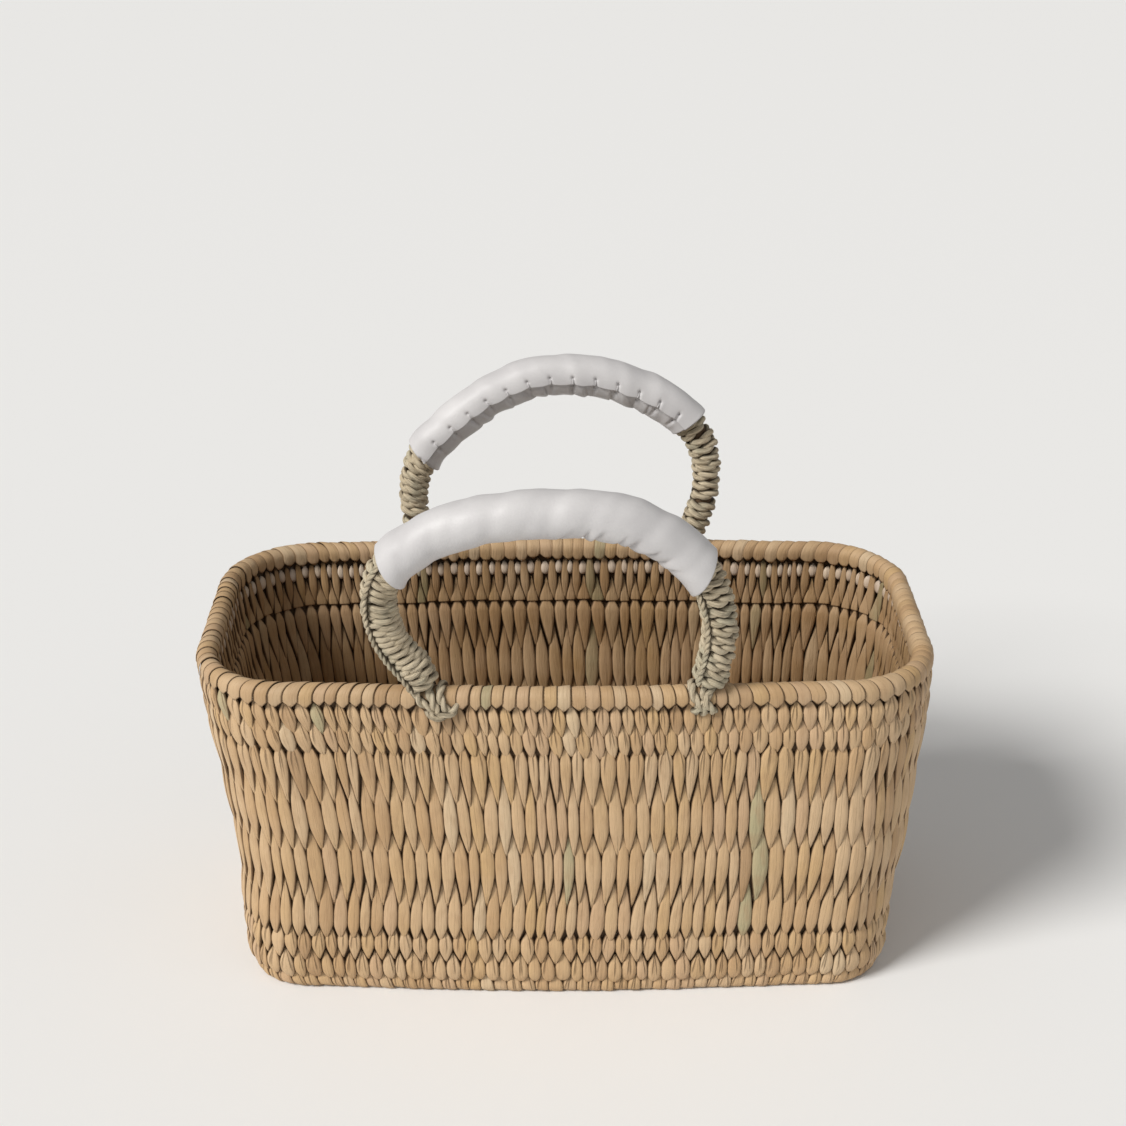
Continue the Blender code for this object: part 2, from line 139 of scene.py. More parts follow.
def outline(z, inset=0.0):
    """The wall's plan at height z, moved inwards by inset, as points from the back's middle."""
    height = min(1.04, max(0.0, z / WALL_HEIGHT))
    left = RIM_LENGTH / 2 * blended(SECTIONS, height, "left") - inset
    right = RIM_LENGTH / 2 * blended(SECTIONS, height, "right") - inset
    depth = (RIM_DEPTH / 2 - SIDE_BOW) * blended(SECTIONS, height, "depth") - inset
    corner = RIM_CORNER * blended(SECTIONS, height, "corner") - inset
    middle, half = (right - left) / 2, (right + left) / 2 - corner
    across = np.linspace(-1, 1, 97)[:-1]
    bow = SIDE_BOW * (1 - across**2) ** 1.5
    front = np.stack([middle + across * half, -depth - bow], axis=1)
    back = np.stack([middle - across * half, depth + bow], axis=1)
    up = np.linspace(-1, 1, 25)[:-1, None] * [[0, depth - corner]]
    turn = np.linspace(0, math.pi / 2, 21)[:-1]

    def quarter(x, y, start):
        return np.stack([x + corner * np.cos(start + turn), y + corner * np.sin(start + turn)], axis=1)

    x_left, x_right = corner - left, right - corner
    y_front, y_back = corner - depth, depth - corner
    round_it = [
        front,
        quarter(x_right, y_front, -math.pi / 2),
        up + [right, 0],
        quarter(x_right, y_back, 0),
        back,
        quarter(x_left, y_back, math.pi / 2),
        -up + [-left, 0],
        quarter(x_left, y_front, math.pi),
    ]
    points = np.concatenate(round_it)
    start = len(front) + 2 * len(turn) + len(up) + len(back) // 2
    return np.roll(points, -start, axis=0)


def walked_along(points):
    """How far along a row of points each one lies."""
    steps = np.linalg.norm(np.diff(points, axis=0), axis=1)
    return np.concatenate([[0], np.cumsum(steps)])


def evenly(points, count, spare):
    """count points evenly spaced round a closed outline, and a few more past each end."""
    closed = np.concatenate([points, points[:1]])
    walked = walked_along(closed)
    steps = np.arange(-spare, count + spare + 1) / count
    at = (steps % 1) * walked[-1]
    return steps, np.stack([np.interp(at, walked, closed[:, k]) for k in (0, 1)], axis=1)


GUIDE_COLUMNS = 288
GUIDE_OVERLAP = 6


def grid_faces(rows, columns, turned_over=False):
    faces = [
        (r * columns + c, r * columns + c + 1, (r + 1) * columns + c + 1, (r + 1) * columns + c)
        for r in range(rows - 1)
        for c in range(columns - 1)
    ]
    return [face[::-1] for face in faces] if turned_over else faces


def charted(name, grid, chart, facing_in=False):
    """A surface that strips follow, from rows of points and the chart's place of each point."""
    mesh = bpy.data.meshes.new(name)
    corners = grid_faces(len(grid), len(grid[0]), facing_in)
    mesh.from_pydata(np.concatenate(grid).tolist(), [], corners)
    mesh.shade_smooth()
    layer = mesh.uv_layers.new(name="round_and_up")
    layer.data.foreach_set("uv", np.concatenate(chart)[np.array(corners).ravel()].ravel())
    surface = bpy.data.objects.new(name, mesh)
    bpy.context.scene.collection.objects.link(surface)
    return surface


def guide(name, rows, facing_in=False):
    """A surface round the basket. Rows are (place up the surface, height, outline). Its chart
    holds the share of the way round and the place up the surface, in metres."""
    grid, chart = [], []
    for up, z, points in rows:
        shares, places = evenly(points, GUIDE_COLUMNS, GUIDE_OVERLAP)
        grid.append(np.column_stack([places, np.full(len(places), z)]))
        chart.append(np.column_stack([shares, np.full(len(places), up)]))
    return charted(name, grid, chart, facing_in)


# The strips' two guides: up the outside of the wall from some way in under the foot, and up its
# inside. The foot's underside is held a little above the floor, which the strips then rest on.
GUIDE_STEP = 0.004
GUIDE_ROWS = 46
FOOT_ROWS = 4
UNDER_LEVEL = 0.0016
UNDER_REACH = 0.016
outer_rows = []
for i in range(FOOT_ROWS):
    under = UNDER_REACH * (1 - i / FOOT_ROWS)
    outer_rows.append((-under, UNDER_LEVEL, outline(0, FOOT_ROUNDING + under)))
for i in range(FOOT_ROWS):
    turn = math.pi / 2 * i / FOOT_ROWS
    z = FOOT_ROUNDING * (1 - math.cos(turn))
    inset = FOOT_ROUNDING * (1 - math.sin(turn))
    outer_rows.append((z * 0.99, max(z, UNDER_LEVEL + i * 0.0001), outline(z, inset)))
for i in range(GUIDE_ROWS):
    z = FOOT_ROUNDING + GUIDE_STEP * i
    outer_rows.append((z, z, outline(z)))
outer_guide = guide("outer_guide", outer_rows)
inner_levels = np.arange(0.002, WALL_HEIGHT + 3 * GUIDE_STEP, GUIDE_STEP)
inner_rows = [(z, z, outline(z, WALL_THICKNESS)) for z in inner_levels]
inner_guide = guide("inner_guide", inner_rows, facing_in=True)


def feed(socket, value):
    """Joins a field to a socket, or sets the socket's own value."""
    if isinstance(value, Field):
        socket.id_data.links.new(value.socket, socket)
    elif value is not None:
        socket.default_value = value


class Field:
    """An output inside a node tree. Arithmetic on it adds Math nodes to the tree."""

    def __init__(self, socket):
        self.socket = socket
        self.tree = socket.id_data

    def math(self, operation, *terms):
        node = self.tree.nodes.new("ShaderNodeMath")
        node.operation = operation
        for slot, term in zip(node.inputs, terms):
            feed(slot, term)
        return Field(node.outputs[0])

    def __add__(self, other):
        return self.math("ADD", self, other)

    def __radd__(self, other):
        return self.math("ADD", other, self)

    def __sub__(self, other):
        return self.math("SUBTRACT", self, other)

    def __rsub__(self, other):
        return self.math("SUBTRACT", other, self)

    def __mul__(self, other):
        return self.math("MULTIPLY", self, other)

    def __rmul__(self, other):
        return self.math("MULTIPLY", other, self)

    def __truediv__(self, other):
        return self.math("DIVIDE", self, other)

    def __rtruediv__(self, other):
        return self.math("DIVIDE", other, self)

    def __pow__(self, other):
        return self.math("POWER", self, other)

    def __neg__(self):
        return self.math("MULTIPLY", self, -1.0)

    def __lt__(self, other):
        return self.math("LESS_THAN", self, other)

    def __gt__(self, other):
        return self.math("GREATER_THAN", self, other)


def alone(value, operation):
    return value.math(operation, value)


def larger(a, b):
    return a.math("MAXIMUM", a, b)


def smaller(a, b):
    return a.math("MINIMUM", a, b)


def eased(value, low, high):
    """0 below low, 1 above high and a smooth step between them."""
    node = value.tree.nodes.new("ShaderNodeMapRange")
    node.interpolation_type = "SMOOTHSTEP"
    for name, term in (("Value", value), ("From Min", low), ("From Max", high)):
        feed(node.inputs[name], term)
    return Field(node.outputs[0])


def node_in(tree, kind, settings=(), **terms):
    """Adds a node with its settings, and feeds its sockets by name."""
    node = tree.nodes.new(kind)
    for name, value in dict(settings).items():
        setattr(node, name, value)
    for name, value in terms.items():
        wanted = name.replace("_", " ")
        feed(next(s for s in node.inputs if s.enabled and s.name == wanted), value)
    return node


def out_of(node, name=None):
    return Field(next(s for s in node.outputs if s.enabled and (name is None or s.name == name)))


def along_axes(vector):
    """The three parts of a vector field."""
    parts = node_in(vector.tree, "ShaderNodeSeparateXYZ", Vector=vector)
    return [Field(parts.outputs[k]) for k in range(3)]


def from_axes(x, y, z):
    tree = next(term.tree for term in (x, y, z) if isinstance(term, Field))
    return out_of(node_in(tree, "ShaderNodeCombineXYZ", X=x, Y=y, Z=z))


def vectors(operation, a, b=None, scale=None):
    node = node_in(a.tree, "ShaderNodeVectorMath", {"operation": operation})
    feed(node.inputs[0], a)
    if b is not None:
        feed(node.inputs[1], b)
    if scale is not None:
        feed(node.inputs["Scale"], scale)
    return out_of(node)


SOCKETS = {"int": "NodeSocketInt", "float": "NodeSocketFloat"}
SOCKETS |= {"object": "NodeSocketObject", "material": "NodeSocketMaterial"}


def tree_with(name, inputs):
    """A geometry node tree with named inputs, and those inputs as fields."""
    tree = bpy.data.node_groups.new(name, "GeometryNodeTree")
    tree.is_modifier = True
    tree.interface.new_socket("Geometry", in_out="INPUT", socket_type="NodeSocketGeometry")
    tree.interface.new_socket("Geometry", in_out="OUTPUT", socket_type="NodeSocketGeometry")
    for kind, labels in inputs.items():
        for label in labels:
            tree.interface.new_socket(label, in_out="INPUT", socket_type=SOCKETS[kind])
    entry = tree.nodes.new("NodeGroupInput")
    return tree, {s.name: Field(s) for s in entry.outputs if s.name}


def finished_tree(tree, geometry, material):
    """Realizes what the tree made, gives it its material and sends it out."""
    real = node_in(tree, "GeometryNodeRealizeInstances", Geometry=geometry)
    smooth = node_in(tree, "GeometryNodeSetShadeSmooth", Geometry=out_of(real))
    dressed = node_in(
        tree, "GeometryNodeSetMaterial", Geometry=out_of(smooth), Material=material
    )
    leave = tree.nodes.new("NodeGroupOutput")
    tree.links.new(dressed.outputs[0], leave.inputs[0])


def named(tree, label, kind="FLOAT"):
    node = node_in(tree, "GeometryNodeInputNamedAttribute", {"data_type": kind}, Name=label)
    return out_of(node, "Attribute")


def stored(geometry, label, value, kind="FLOAT"):
    node = node_in(
        geometry.tree,
        "GeometryNodeStoreNamedAttribute",
        {"data_type": kind, "domain": "POINT"},
        Geometry=geometry,
        Name=label,
        Value=value,
    )
    return out_of(node)


def chance(tree, low, high, number, seed):
    """A random value for each number, the same each time."""
    node = node_in(tree, "FunctionNodeRandomValue", Min=low, Max=high, ID=number, Seed=seed)
    return out_of(node, "Value")


LEAF_COURSE = {
    "object": ("Guide",),
    "int": ("Strips", "Step Seed", "Sides", "Rings", "Seed"),
    "float": (
        "Half Step", "Reed", "Above", "Below", "Point Above", "Point Below", "Shoulder",
        "End Above", "End Below", "Fill", "Stand", "Crown", "Tuck Above", "Tuck Below", "Lean",
        "Lean Swing", "Slant", "Over Pivot", "Pleat", "Shingle", "Unevenness", "Green Place",
    ),
    "material": ("Material",),
}
# It is about a metre round the basket, so a share of the way round is taken for metres.
ROUND = 1.0
GREEN_TONE = 0.952
CLUMP_PITCH = 0.21
SQUARENESS = 0.72


def leaf_course_tree():
    """One course of folded leaf strips round a guide surface, each wrapped over the reed at its
    widest place and tapering to a tip that tucks behind the next course."""
    tree, given = tree_with("leaf_course", LEAF_COURSE)
    count, step_seed, seed = given["Strips"], given["Step Seed"], given["Seed"]
    spots = node_in(tree, "GeometryNodeMeshLine", Count=count)
    number = out_of(node_in(tree, "GeometryNodeInputIndex"))
    narrow = 1 - given["Unevenness"]
    wide = 1 + given["Unevenness"]

    def step_width(which):
        clump = node_in(
            tree, "ShaderNodeTexNoise", {"noise_dimensions": "1D"}, W=which * CLUMP_PITCH, Scale=1.0
        )
        spread = chance(tree, narrow, wide, which, step_seed)
        return spread * (0.72 + 0.56 * out_of(clump, "Fac"))

    before = (number + count - 1).math("MODULO", number + count - 1, count)
    own, last = step_width(number), step_width(before)
    walked = node_in(tree, "GeometryNodeAccumulateField", Value=own)
    total = out_of(walked, "Total")
    start = out_of(walked, "Trailing")
    half = given["Half Step"]
    line = stored(out_of(spots), "centre", (start + own * 0.5 * (1 - half)) / total)
    line = stored(line, "reach_back", (own + (last - own) * half) * 0.5 / total)
    line = stored(line, "reach_on", own * 0.5 / total)
    line = stored(line, "strip", number)
    ball = node_in(
        tree, "GeometryNodeMeshUVSphere", Segments=given["Sides"], Rings=given["Rings"], Radius=1.0
    )
    blank = stored(out_of(ball, "Mesh"), "blank", out_of(tree.nodes.new("GeometryNodeInputPosition")),
                   "FLOAT_VECTOR")
    copies = node_in(tree, "GeometryNodeInstanceOnPoints", Points=line, Instance=blank)
    strips = out_of(node_in(tree, "GeometryNodeRealizeInstances", Geometry=out_of(copies)))

    x, y, z = along_axes(named(tree, "blank", "FLOAT_VECTOR"))
    span = larger(alone(x * x + y * y, "SQRT"), 0.0001)
    across = alone(x, "SIGN") * (alone(x, "ABSOLUTE") / span) ** SQUARENESS
    front = -y / span
    up = 1 - alone(z, "ARCCOSINE") * (2 / math.pi)
    strip = named(tree, "strip")

    def luck(low, high, extra):
        return chance(tree, low, high, strip, seed + extra)

    above = given["Above"] * luck(0.93, 1.07, 1)
    below = given["Below"] * luck(0.93, 1.07, 2)
    reed = given["Reed"] + luck(-0.0006, 0.0006, 3)
    top_half = up > 0.0
    reach_up = below + (above - below) * top_half
    point = given["Point Below"] + (given["Point Above"] - given["Point Below"]) * top_half
    tuck = given["Tuck Below"] + (given["Tuck Above"] - given["Tuck Below"]) * top_half
    size_up = alone(up, "ABSOLUTE")
    end = given["End Below"] + (given["End Above"] - given["End Below"]) * top_half
    width = end + (1 - end) * smaller(given["Shoulder"] * (1 - size_up**point), 1.0)
    reach = named(tree, "reach_back")
    reach = reach + (named(tree, "reach_on") - reach) * (across > 0.0)
    from_reed = up * reach_up
    place_up = reed + from_reed
    centre = named(tree, "centre")
    swing = alone(centre * (2 * math.pi), "SINE")
    lean = given["Lean"] + given["Lean Swing"] * swing
    slant = lean * given["Slant"] + luck(-0.04, 0.04, 4)
    shift = lean * given["Over Pivot"] + slant * from_reed
    place_round = centre + across * reach * width * given["Fill"] - shift / ROUND
    bulge = (front > 0.0) * 1.25 - 0.25
    rise = given["Crown"] * luck(0.85, 1.15, 5) * bulge * alone(front, "ABSOLUTE") ** 0.5
    rise = rise * larger(width, 0.15) ** 0.4
    pleated_side = alone(luck(-1.0, 1.4, 9), "SIGN")
    between = eased(across * pleated_side, 0.1, 0.5) * (1 - eased(across * pleated_side, 0.5, 0.85))
    other = eased(-across, 0.1, 0.5) * (1 - eased(-across, 0.5, 0.85)) * (luck(0.0, 1.0, 10) > 0.5)
    fold = larger(between, other) * (luck(0.0, 1.0, 11) > 0.3)
    fold = fold * eased(up, 0.05, 0.5) * (1 - eased(up, 0.7, 1.0))
    rise = rise - given["Pleat"] * fold * (front > 0.0)
    tilt = given["Shingle"] * luck(0.2, 1.0, 6) * across * width
    dip = tuck * (size_up**2 + (eased(size_up, 0.0, 0.8) - size_up**2) * top_half)
    out = given["Stand"] + rise - dip + tilt + luck(-0.0002, 0.0002, 7)

    surface = node_in(tree, "GeometryNodeObjectInfo", {"transform_space": "RELATIVE"},
                      Object=given["Guide"])
    sheet = out_of(surface, "Geometry")
    chart = named(tree, "round_and_up", "FLOAT_VECTOR")
    target = from_axes(place_round, place_up, 0.0)

    def on_guide(value):
        node = node_in(
            tree,
            "GeometryNodeSampleUVSurface",
            {"data_type": "FLOAT_VECTOR"},
            Mesh=sheet,
            Value=value,
            UV_Map=chart,
            Sample_UV=target,
        )
        return out_of(node, "Value")

    foot = on_guide(out_of(tree.nodes.new("GeometryNodeInputPosition")))
    facing = vectors("NORMALIZE", on_guide(out_of(tree.nodes.new("GeometryNodeInputNormal"))))
    place = vectors("ADD", foot, vectors("SCALE", facing, scale=out))
    strips = stored(strips, "leaf", from_axes(across * reach * width * ROUND, from_reed, strip),
                    "FLOAT_VECTOR")
    strips = stored(strips, "strip_shape", from_axes(across, up, front), "FLOAT_VECTOR")
    column = chance(tree, 0.0, 1.0, strip, step_seed + 7)
    tone = luck(0.0, 1.0, 8)
    tone = tone + (column - tone) * (luck(0.0, 1.0, 12) > 0.45)
    past = given["Green Place"] - centre
    here = (past < named(tree, "reach_on")) * (past > -named(tree, "reach_back"))
    tone = tone + (GREEN_TONE - tone) * here
    strips = stored(strips, "strip_tone", tone)
    moved = node_in(tree, "GeometryNodeSetPosition", Geometry=strips, Position=place)
    finished_tree(tree, out_of(moved), given["Material"])
    return tree


leaf_course = leaf_course_tree()


def grown(name, tree, sizes, seedling=None):
    """The mesh that a tree makes with these sizes, as a plain mesh."""
    start = seedling or bpy.data.meshes.new(name)
    holder = bpy.data.objects.new(name, start)
    bpy.context.scene.collection.objects.link(holder)
    maker = holder.modifiers.new("maker", "NODES")
    maker.node_group = tree
    for item in tree.interface.items_tree:
        if item.item_type == "SOCKET" and item.in_out == "INPUT" and item.name in sizes:
            maker[item.identifier] = sizes[item.name]
    shape = bpy.data.meshes.new_from_object(
        holder.evaluated_get(bpy.context.evaluated_depsgraph_get())
    )
    bpy.data.objects.remove(holder)
    return shape


def joined(name, meshes):
    """One object made of several meshes, at the origin."""
    gathered = bmesh.new()
    materials = []
    for mesh in meshes:
        first = len(gathered.faces)
        gathered.from_mesh(mesh)
        gathered.faces.ensure_lookup_table()
        for material in mesh.materials:
            if material not in materials:
                materials.append(material)
        for face in gathered.faces[first:]:
            face.material_index = materials.index(mesh.materials[face.material_index])
    whole = bpy.data.meshes.new(name)
    for material in materials:
        whole.materials.append(material)
    gathered.to_mesh(whole)
    gathered.free()
    piece = bpy.data.objects.new(name, whole)
    bpy.context.scene.collection.objects.link(piece)
    return piece


def placed_on_basket(piece, slot, *nodes):
    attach(piece, "root")
    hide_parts(*nodes)


def ramp(factor, stops, mode="LINEAR"):
    """Colour along a row of (place, colour) stops."""
    node = node_in(factor.tree, "ShaderNodeValToRGB", Fac=factor)
    node.color_ramp.interpolation = mode
    elements = node.color_ramp.elements
    while len(elements) < len(stops):
        elements.new(0.5)
    for element, (place, tone) in zip(elements, stops):
        element.position = place
        element.color = (*tone, 1)
    return out_of(node, "Color")


def attribute(tree, label, output):
    node = tree.nodes.new("ShaderNodeAttribute")
    node.attribute_name = label
    return Field(node.outputs[output])


def noise(tree, vector, scale, detail=2.0, roughness=0.5):
    node = node_in(
        tree, "ShaderNodeTexNoise", Vector=vector, Scale=scale, Detail=detail, Roughness=roughness
    )
    return out_of(node, "Fac")


def mixed(share, under, over):
    """The colour under, with a share of the (red, green, blue) colour over mixed into it."""
    node = share.tree.nodes.new("ShaderNodeMix")
    node.data_type = "RGBA"
    feed(node.inputs[0], share)
    feed(node.inputs[6], under)
    feed(node.inputs[7], (*over, 1))
    return Field(node.outputs[2])


def new_finish(name, roughness, specular):
    finish = bpy.data.materials.new(name)
    finish.use_nodes = True
    shader = finish.node_tree.nodes["Principled BSDF"]
    shader.inputs["Roughness"].default_value = roughness
    shader.inputs["Specular IOR Level"].default_value = specular
    return finish, finish.node_tree, shader


LEAF_TONES = (
    (0.00, (0.565, 0.380, 0.200)),
    (0.14, (0.600, 0.415, 0.235)),
    (0.28, (0.525, 0.340, 0.175)),
    (0.40, (0.580, 0.385, 0.190)),
    (0.50, (0.605, 0.430, 0.255)),
    (0.62, (0.540, 0.355, 0.185)),
    (0.72, (0.580, 0.400, 0.225)),
    (0.81, (0.490, 0.315, 0.165)),
    (0.89, (0.570, 0.385, 0.225)),
    (0.945, (0.425, 0.375, 0.220)),
    (0.96, (0.630, 0.475, 0.300)),
    (0.985, (0.420, 0.265, 0.135)),
)


BLEACHED_TONE = (0.66, 0.47, 0.295)
STAIN_TONE = (0.38, 0.235, 0.125)
FIBRE_TONE = (0.33, 0.20, 0.10)
# Painted shade: this dark brown, laid along the strips' edges, lower tips, pleats and backs, stands in
# for the shade in the crevices between strips.
EDGE_SHADE_TONE = (0.12, 0.066, 0.03)
EDGE_SHADE_WIDTH = 0.00075


def leaf_finish(name, tones, shade_tone=EDGE_SHADE_TONE, pleats=0.0):
    """Dried palm leaf: a tone for each strip, fine fibres and wrinkles along it, and pleats that run
    down from the strip's upper tip. Painted shade darkens its edges, lower tip, pleats and back."""
    finish, tree, shader = new_finish(name, 0.56, 0.35)
    leaf = attribute(tree, "leaf", "Vector")
    shape = attribute(tree, "strip_shape", "Vector")
    side, up, front = along_axes(shape)
    across, along, strip = along_axes(leaf)
    own = ramp(attribute(tree, "strip_tone", "Fac"), tones, "CONSTANT")
    where = Field(node_in(tree, "ShaderNodeTexCoord").outputs["Object"])
    cloud = noise(tree, where, 45.0, 3.0)
    fibre = noise(tree, from_axes(across * 3400, along * 160, strip * 7.3), 1.0, 4.0, 0.6)
    stain = noise(tree, from_axes(across * 260, along * 90, strip * 3.1), 1.0, 3.0)
    tint = mixed(eased(cloud, 0.35, 0.7) * 0.30, own, BLEACHED_TONE)
    tint = mixed(eased(stain, 0.42, 0.78) * 0.40, tint, STAIN_TONE)
    tint = mixed(eased(fibre, 0.30, 0.75) * 0.11, tint, FIBRE_TONE)
    off_centre = larger(alone(side, "ABSOLUTE"), 0.05)
    from_edge = alone(across, "ABSOLUTE") * (1 / off_centre - 1)
    edge = 1 - eased(from_edge, EDGE_SHADE_WIDTH * 0.35, EDGE_SHADE_WIDTH)
    tip = eased(-up, 0.90, 1.0)
    mark = attribute(tree, "strip_tone", "Fac")
    folds = []
    for number in (7.3, 17.9):
        place = alone(mark * number, "FRACT") * 1.3 - 0.65
        away = alone(side - place * (1 - 0.55 * up), "ABSOLUTE")
        shown = eased(up, -0.45, 0.15) * (alone(mark * number * 3.1, "FRACT") > 0.35)
        folds.append((1 - eased(away, 0.02, 0.17)) * shown * pleats)
    fold = larger(*folds)
    # Painted shade: the pleat lines, the edges where strips meet and the lower tips are darkened, and
    # the back of each strip is painted in full shade.
    tint = mixed(fold * 0.55, tint, shade_tone)
    tint = mixed(larger(edge * 0.88, tip * 0.6), tint, shade_tone)
    tint = mixed(front < -0.05, tint, shade_tone)
    feed(shader.inputs["Base Color"], tint)
    feed(shader.inputs["Roughness"], 0.54 + 0.16 * fibre)
    wrinkle = noise(tree, from_axes(across * 900, along * 110, strip * 5.7), 1.0, 3.0, 0.6)
    ridge = node_in(tree, "ShaderNodeBump", Height=fibre * 0.10 + wrinkle * 1.2 - fold * 1.2,
                    Strength=0.75, Distance=0.0005)
    feed(shader.inputs["Normal"], out_of(ridge, "Normal"))
    return finish


palm_leaf = leaf_finish("palm_leaf", LEAF_TONES)
pleated_leaf = leaf_finish("pleated_palm_leaf", LEAF_TONES, pleats=1.0)

# A course is its number of strips, the seed of their steps and whether it starts half a step on,
# then in millimetres the height of its reed and how far a strip reaches above and below it, then
# how blunt its two ends are, and in millimetres how far it crowns.
Course = namedtuple("Course", "strips step half reed above below point_above point_below crown")
NARROW_TIP = 0.03


def course_mesh(name, course, guide_surface, seed, inside=False, sides=10, rings=10, fill=1.08,
                stand=-0.0005, tuck=(0.0013, 0.0006), shingle=0.00035,
                ends=(NARROW_TIP, NARROW_TIP), shoulder=1.06, lean=(0.0, 0.0), slant=1.0,
                over_pivot=0.0, pleat=0.0, finish=palm_leaf, uneven=0.2, green=-1.0):
    """A course of strips on a guide. Its lengths are in metres and its green leaf, if any, at a
    share of the way round."""
    sizes = {"Guide": guide_surface, "Strips": course.strips, "Step Seed": course.step}
    sizes |= {"Half Step": float(course.half), "Reed": course.reed / 1000}
    sizes |= {"Above": course.above / 1000, "Below": course.below / 1000}
    sizes |= {"Point Above": course.point_above, "Point Below": course.point_below}
    sizes |= {"Shoulder": shoulder, "End Above": ends[0], "End Below": ends[1]}
    sizes |= {"Fill": fill, "Stand": stand, "Crown": course.crown / 1000, "Shingle": shingle}
    sizes |= {"Tuck Above": tuck[0], "Tuck Below": tuck[1], "Pleat": pleat, "Slant": slant}
    sizes |= {"Lean": lean[0], "Lean Swing": lean[1], "Over Pivot": over_pivot}
    sizes |= {"Unevenness": uneven, "Green Place": green, "Material": finish}
    sizes |= {"Sides": sides, "Rings": rings, "Seed": seed}
    mesh = grown(name, leaf_course, sizes)
    if inside:
        mesh.flip_normals()
    return mesh


def courses(prefix, rows, guide_surface, first_seed, **more):
    return [
        course_mesh(f"{prefix}_{k}", row, guide_surface, first_seed + k, **more)
        for k, row in enumerate(rows)
    ]


LOWER_COURSES = (
    Course(136, 3, 1, 29.0, 10.8, 10.8, 2.0, 1.25, 1.6),
    Course(136, 3, 0, 14.0, 11.0, 8.2, 1.8, 2.2, 1.7),
    Course(136, 3, 1, 3.6, 8.0, 8.0, 2.0, 3.0, 1.5),
)
lower = courses("lower_out", LOWER_COURSES, outer_guide, 20, pleat=0.0006, finish=pleated_leaf)
lower += courses("lower_in", LOWER_COURSES[:2], inner_guide, 30, inside=True, rings=7)
placed_on_basket(joined("lower_border_strips", lower), "palm_leaf", "lower_border")

# The base: flat courses of the same strips, stitched over reeds that run the length of the
# basket, with one face inside and one underneath.
BASE_HALF = 0.079
BASE_UPPER = 0.0048
BASE_LOWER = 0.0013
BASE_REEDS = 7
BASE_COLUMNS = 60
BASE_STRIPS = 58
BASE_REACH = 0.096
BASE_KNEE = 0.062
BASE_SQUEEZE = 0.38


def base_chart(name, level, under):
    """The base's face: the share of its length at each depth, and the depth in metres. Past the
    knee the depth is squeezed, so that the outermost strips end inside the wall."""
    plan = outline(0.004, WALL_THICKNESS - 0.003)
    straight = np.abs(plan[:, 1]).max() - SIDE_BOW - 0.0003
    grid, chart = [], []
    share = np.linspace(-0.06, 1.06, BASE_COLUMNS)
    for depth in np.linspace(-BASE_REACH, BASE_REACH, BASE_COLUMNS):
        past = max(0.0, abs(depth) - BASE_KNEE)
        y = math.copysign(min(abs(depth), BASE_KNEE) + BASE_SQUEEZE * past, depth)
        ends = []
        for end in (-1, 1):
            edge = plan[plan[:, 0] * end > 0.07]
            edge = edge[np.argsort(edge[:, 1])]
            ends.append(np.interp(np.clip(y, -straight, straight), edge[:, 1], edge[:, 0]))
        x = ends[0] + (ends[1] - ends[0]) * share
        bow = SIDE_BOW * np.clip(1 - (2 * share - 1) ** 2, 0, 1) ** 1.5 * depth / BASE_REACH
        grid.append(np.column_stack([x, y + bow, np.full(BASE_COLUMNS, level)]))
        chart.append(np.column_stack([share, np.full(BASE_COLUMNS, depth)]))
    return charted(name, grid, chart, under)


base_pitch = 2 * BASE_HALF / BASE_REEDS
base_meshes = []
for level, under in ((BASE_UPPER, False), (BASE_LOWER, True)):
    base_guide = base_chart("base_guide", level, under)
    for k in range(BASE_REEDS):
        y = 1000 * base_pitch * (k + 0.5 - BASE_REEDS / 2)
        reach = 1000 * base_pitch * 0.98
        row = Course(BASE_STRIPS, 4, k % 2, y, reach, reach, 1.3, 1.3, 1.4)
        mesh = course_mesh("base_course", row, base_guide, 90 + k, inside=under, sides=8, rings=7,
                           stand=-0.0006, tuck=(0.0012, 0.0012))
        base_meshes.append(mesh)
    bpy.data.objects.remove(base_guide)
placed_on_basket(joined("base_strips", base_meshes), "palm_leaf", "base_panel")

# The reeds that every course is stitched over: cane rods round the wall, joined by a thin web
# into one core, close enough together to stop the light. The cane is painted nearly black as
# painted shade, so the core shows only as dark lines in the gaps between strips.
REED_HEIGHTS = (0.167, 0.155, 0.1475, 0.141, 0.105, 0.0905, 0.079, 0.0585, 0.044, 0.029, 0.014)
REED_HALF = 0.0022
CORE_INSET = 0.0031
CORE_HALF = 0.0008
CORE_LOW = 0.0015
CORE_HIGH = 0.1755
CORE_COLUMNS = 144
CORE_ROWS = 86


def ring_mesh(name, rings, finish, filled=False):
    """A closed mesh through rings of points, the last joined to the first. A filled one ends
    at its first and last ring instead, with a flat face over each."""
    columns, last = len(rings[0]), len(rings) * len(rings[0])
    faces = [range(columns), range(last - columns, last)] if filled else []
    for r in range(len(rings) - filled):
        low, high = r * columns, (r + 1) * columns % last
        faces += [
            (low + c, low + (c + 1) % columns, high + (c + 1) % columns, high + c)
            for c in range(columns)
        ]
    mesh = bpy.data.meshes.new(name)
    mesh.from_pydata(np.concatenate(rings).tolist(), [], faces)
    shape = bmesh.new()
    shape.from_mesh(mesh)
    bmesh.ops.recalc_face_normals(shape, faces=shape.faces)
    shape.to_mesh(mesh)
    shape.free()
    mesh.shade_smooth()
    mesh.materials.append(finish)
    return mesh


def ring_at(plan, z):
    """Evenly spaced points round a plan of the basket, at height z."""
    row = evenly(plan, CORE_COLUMNS, 0)[1][:-1]
    return np.column_stack([row, np.full(CORE_COLUMNS, z)])


def core_half(z):
    swells = [math.sqrt(max(0.0, 1 - ((z - reed) / REED_HALF) ** 2)) for reed in REED_HEIGHTS]
    return CORE_HALF + (REED_HALF - CORE_HALF) * max(swells)
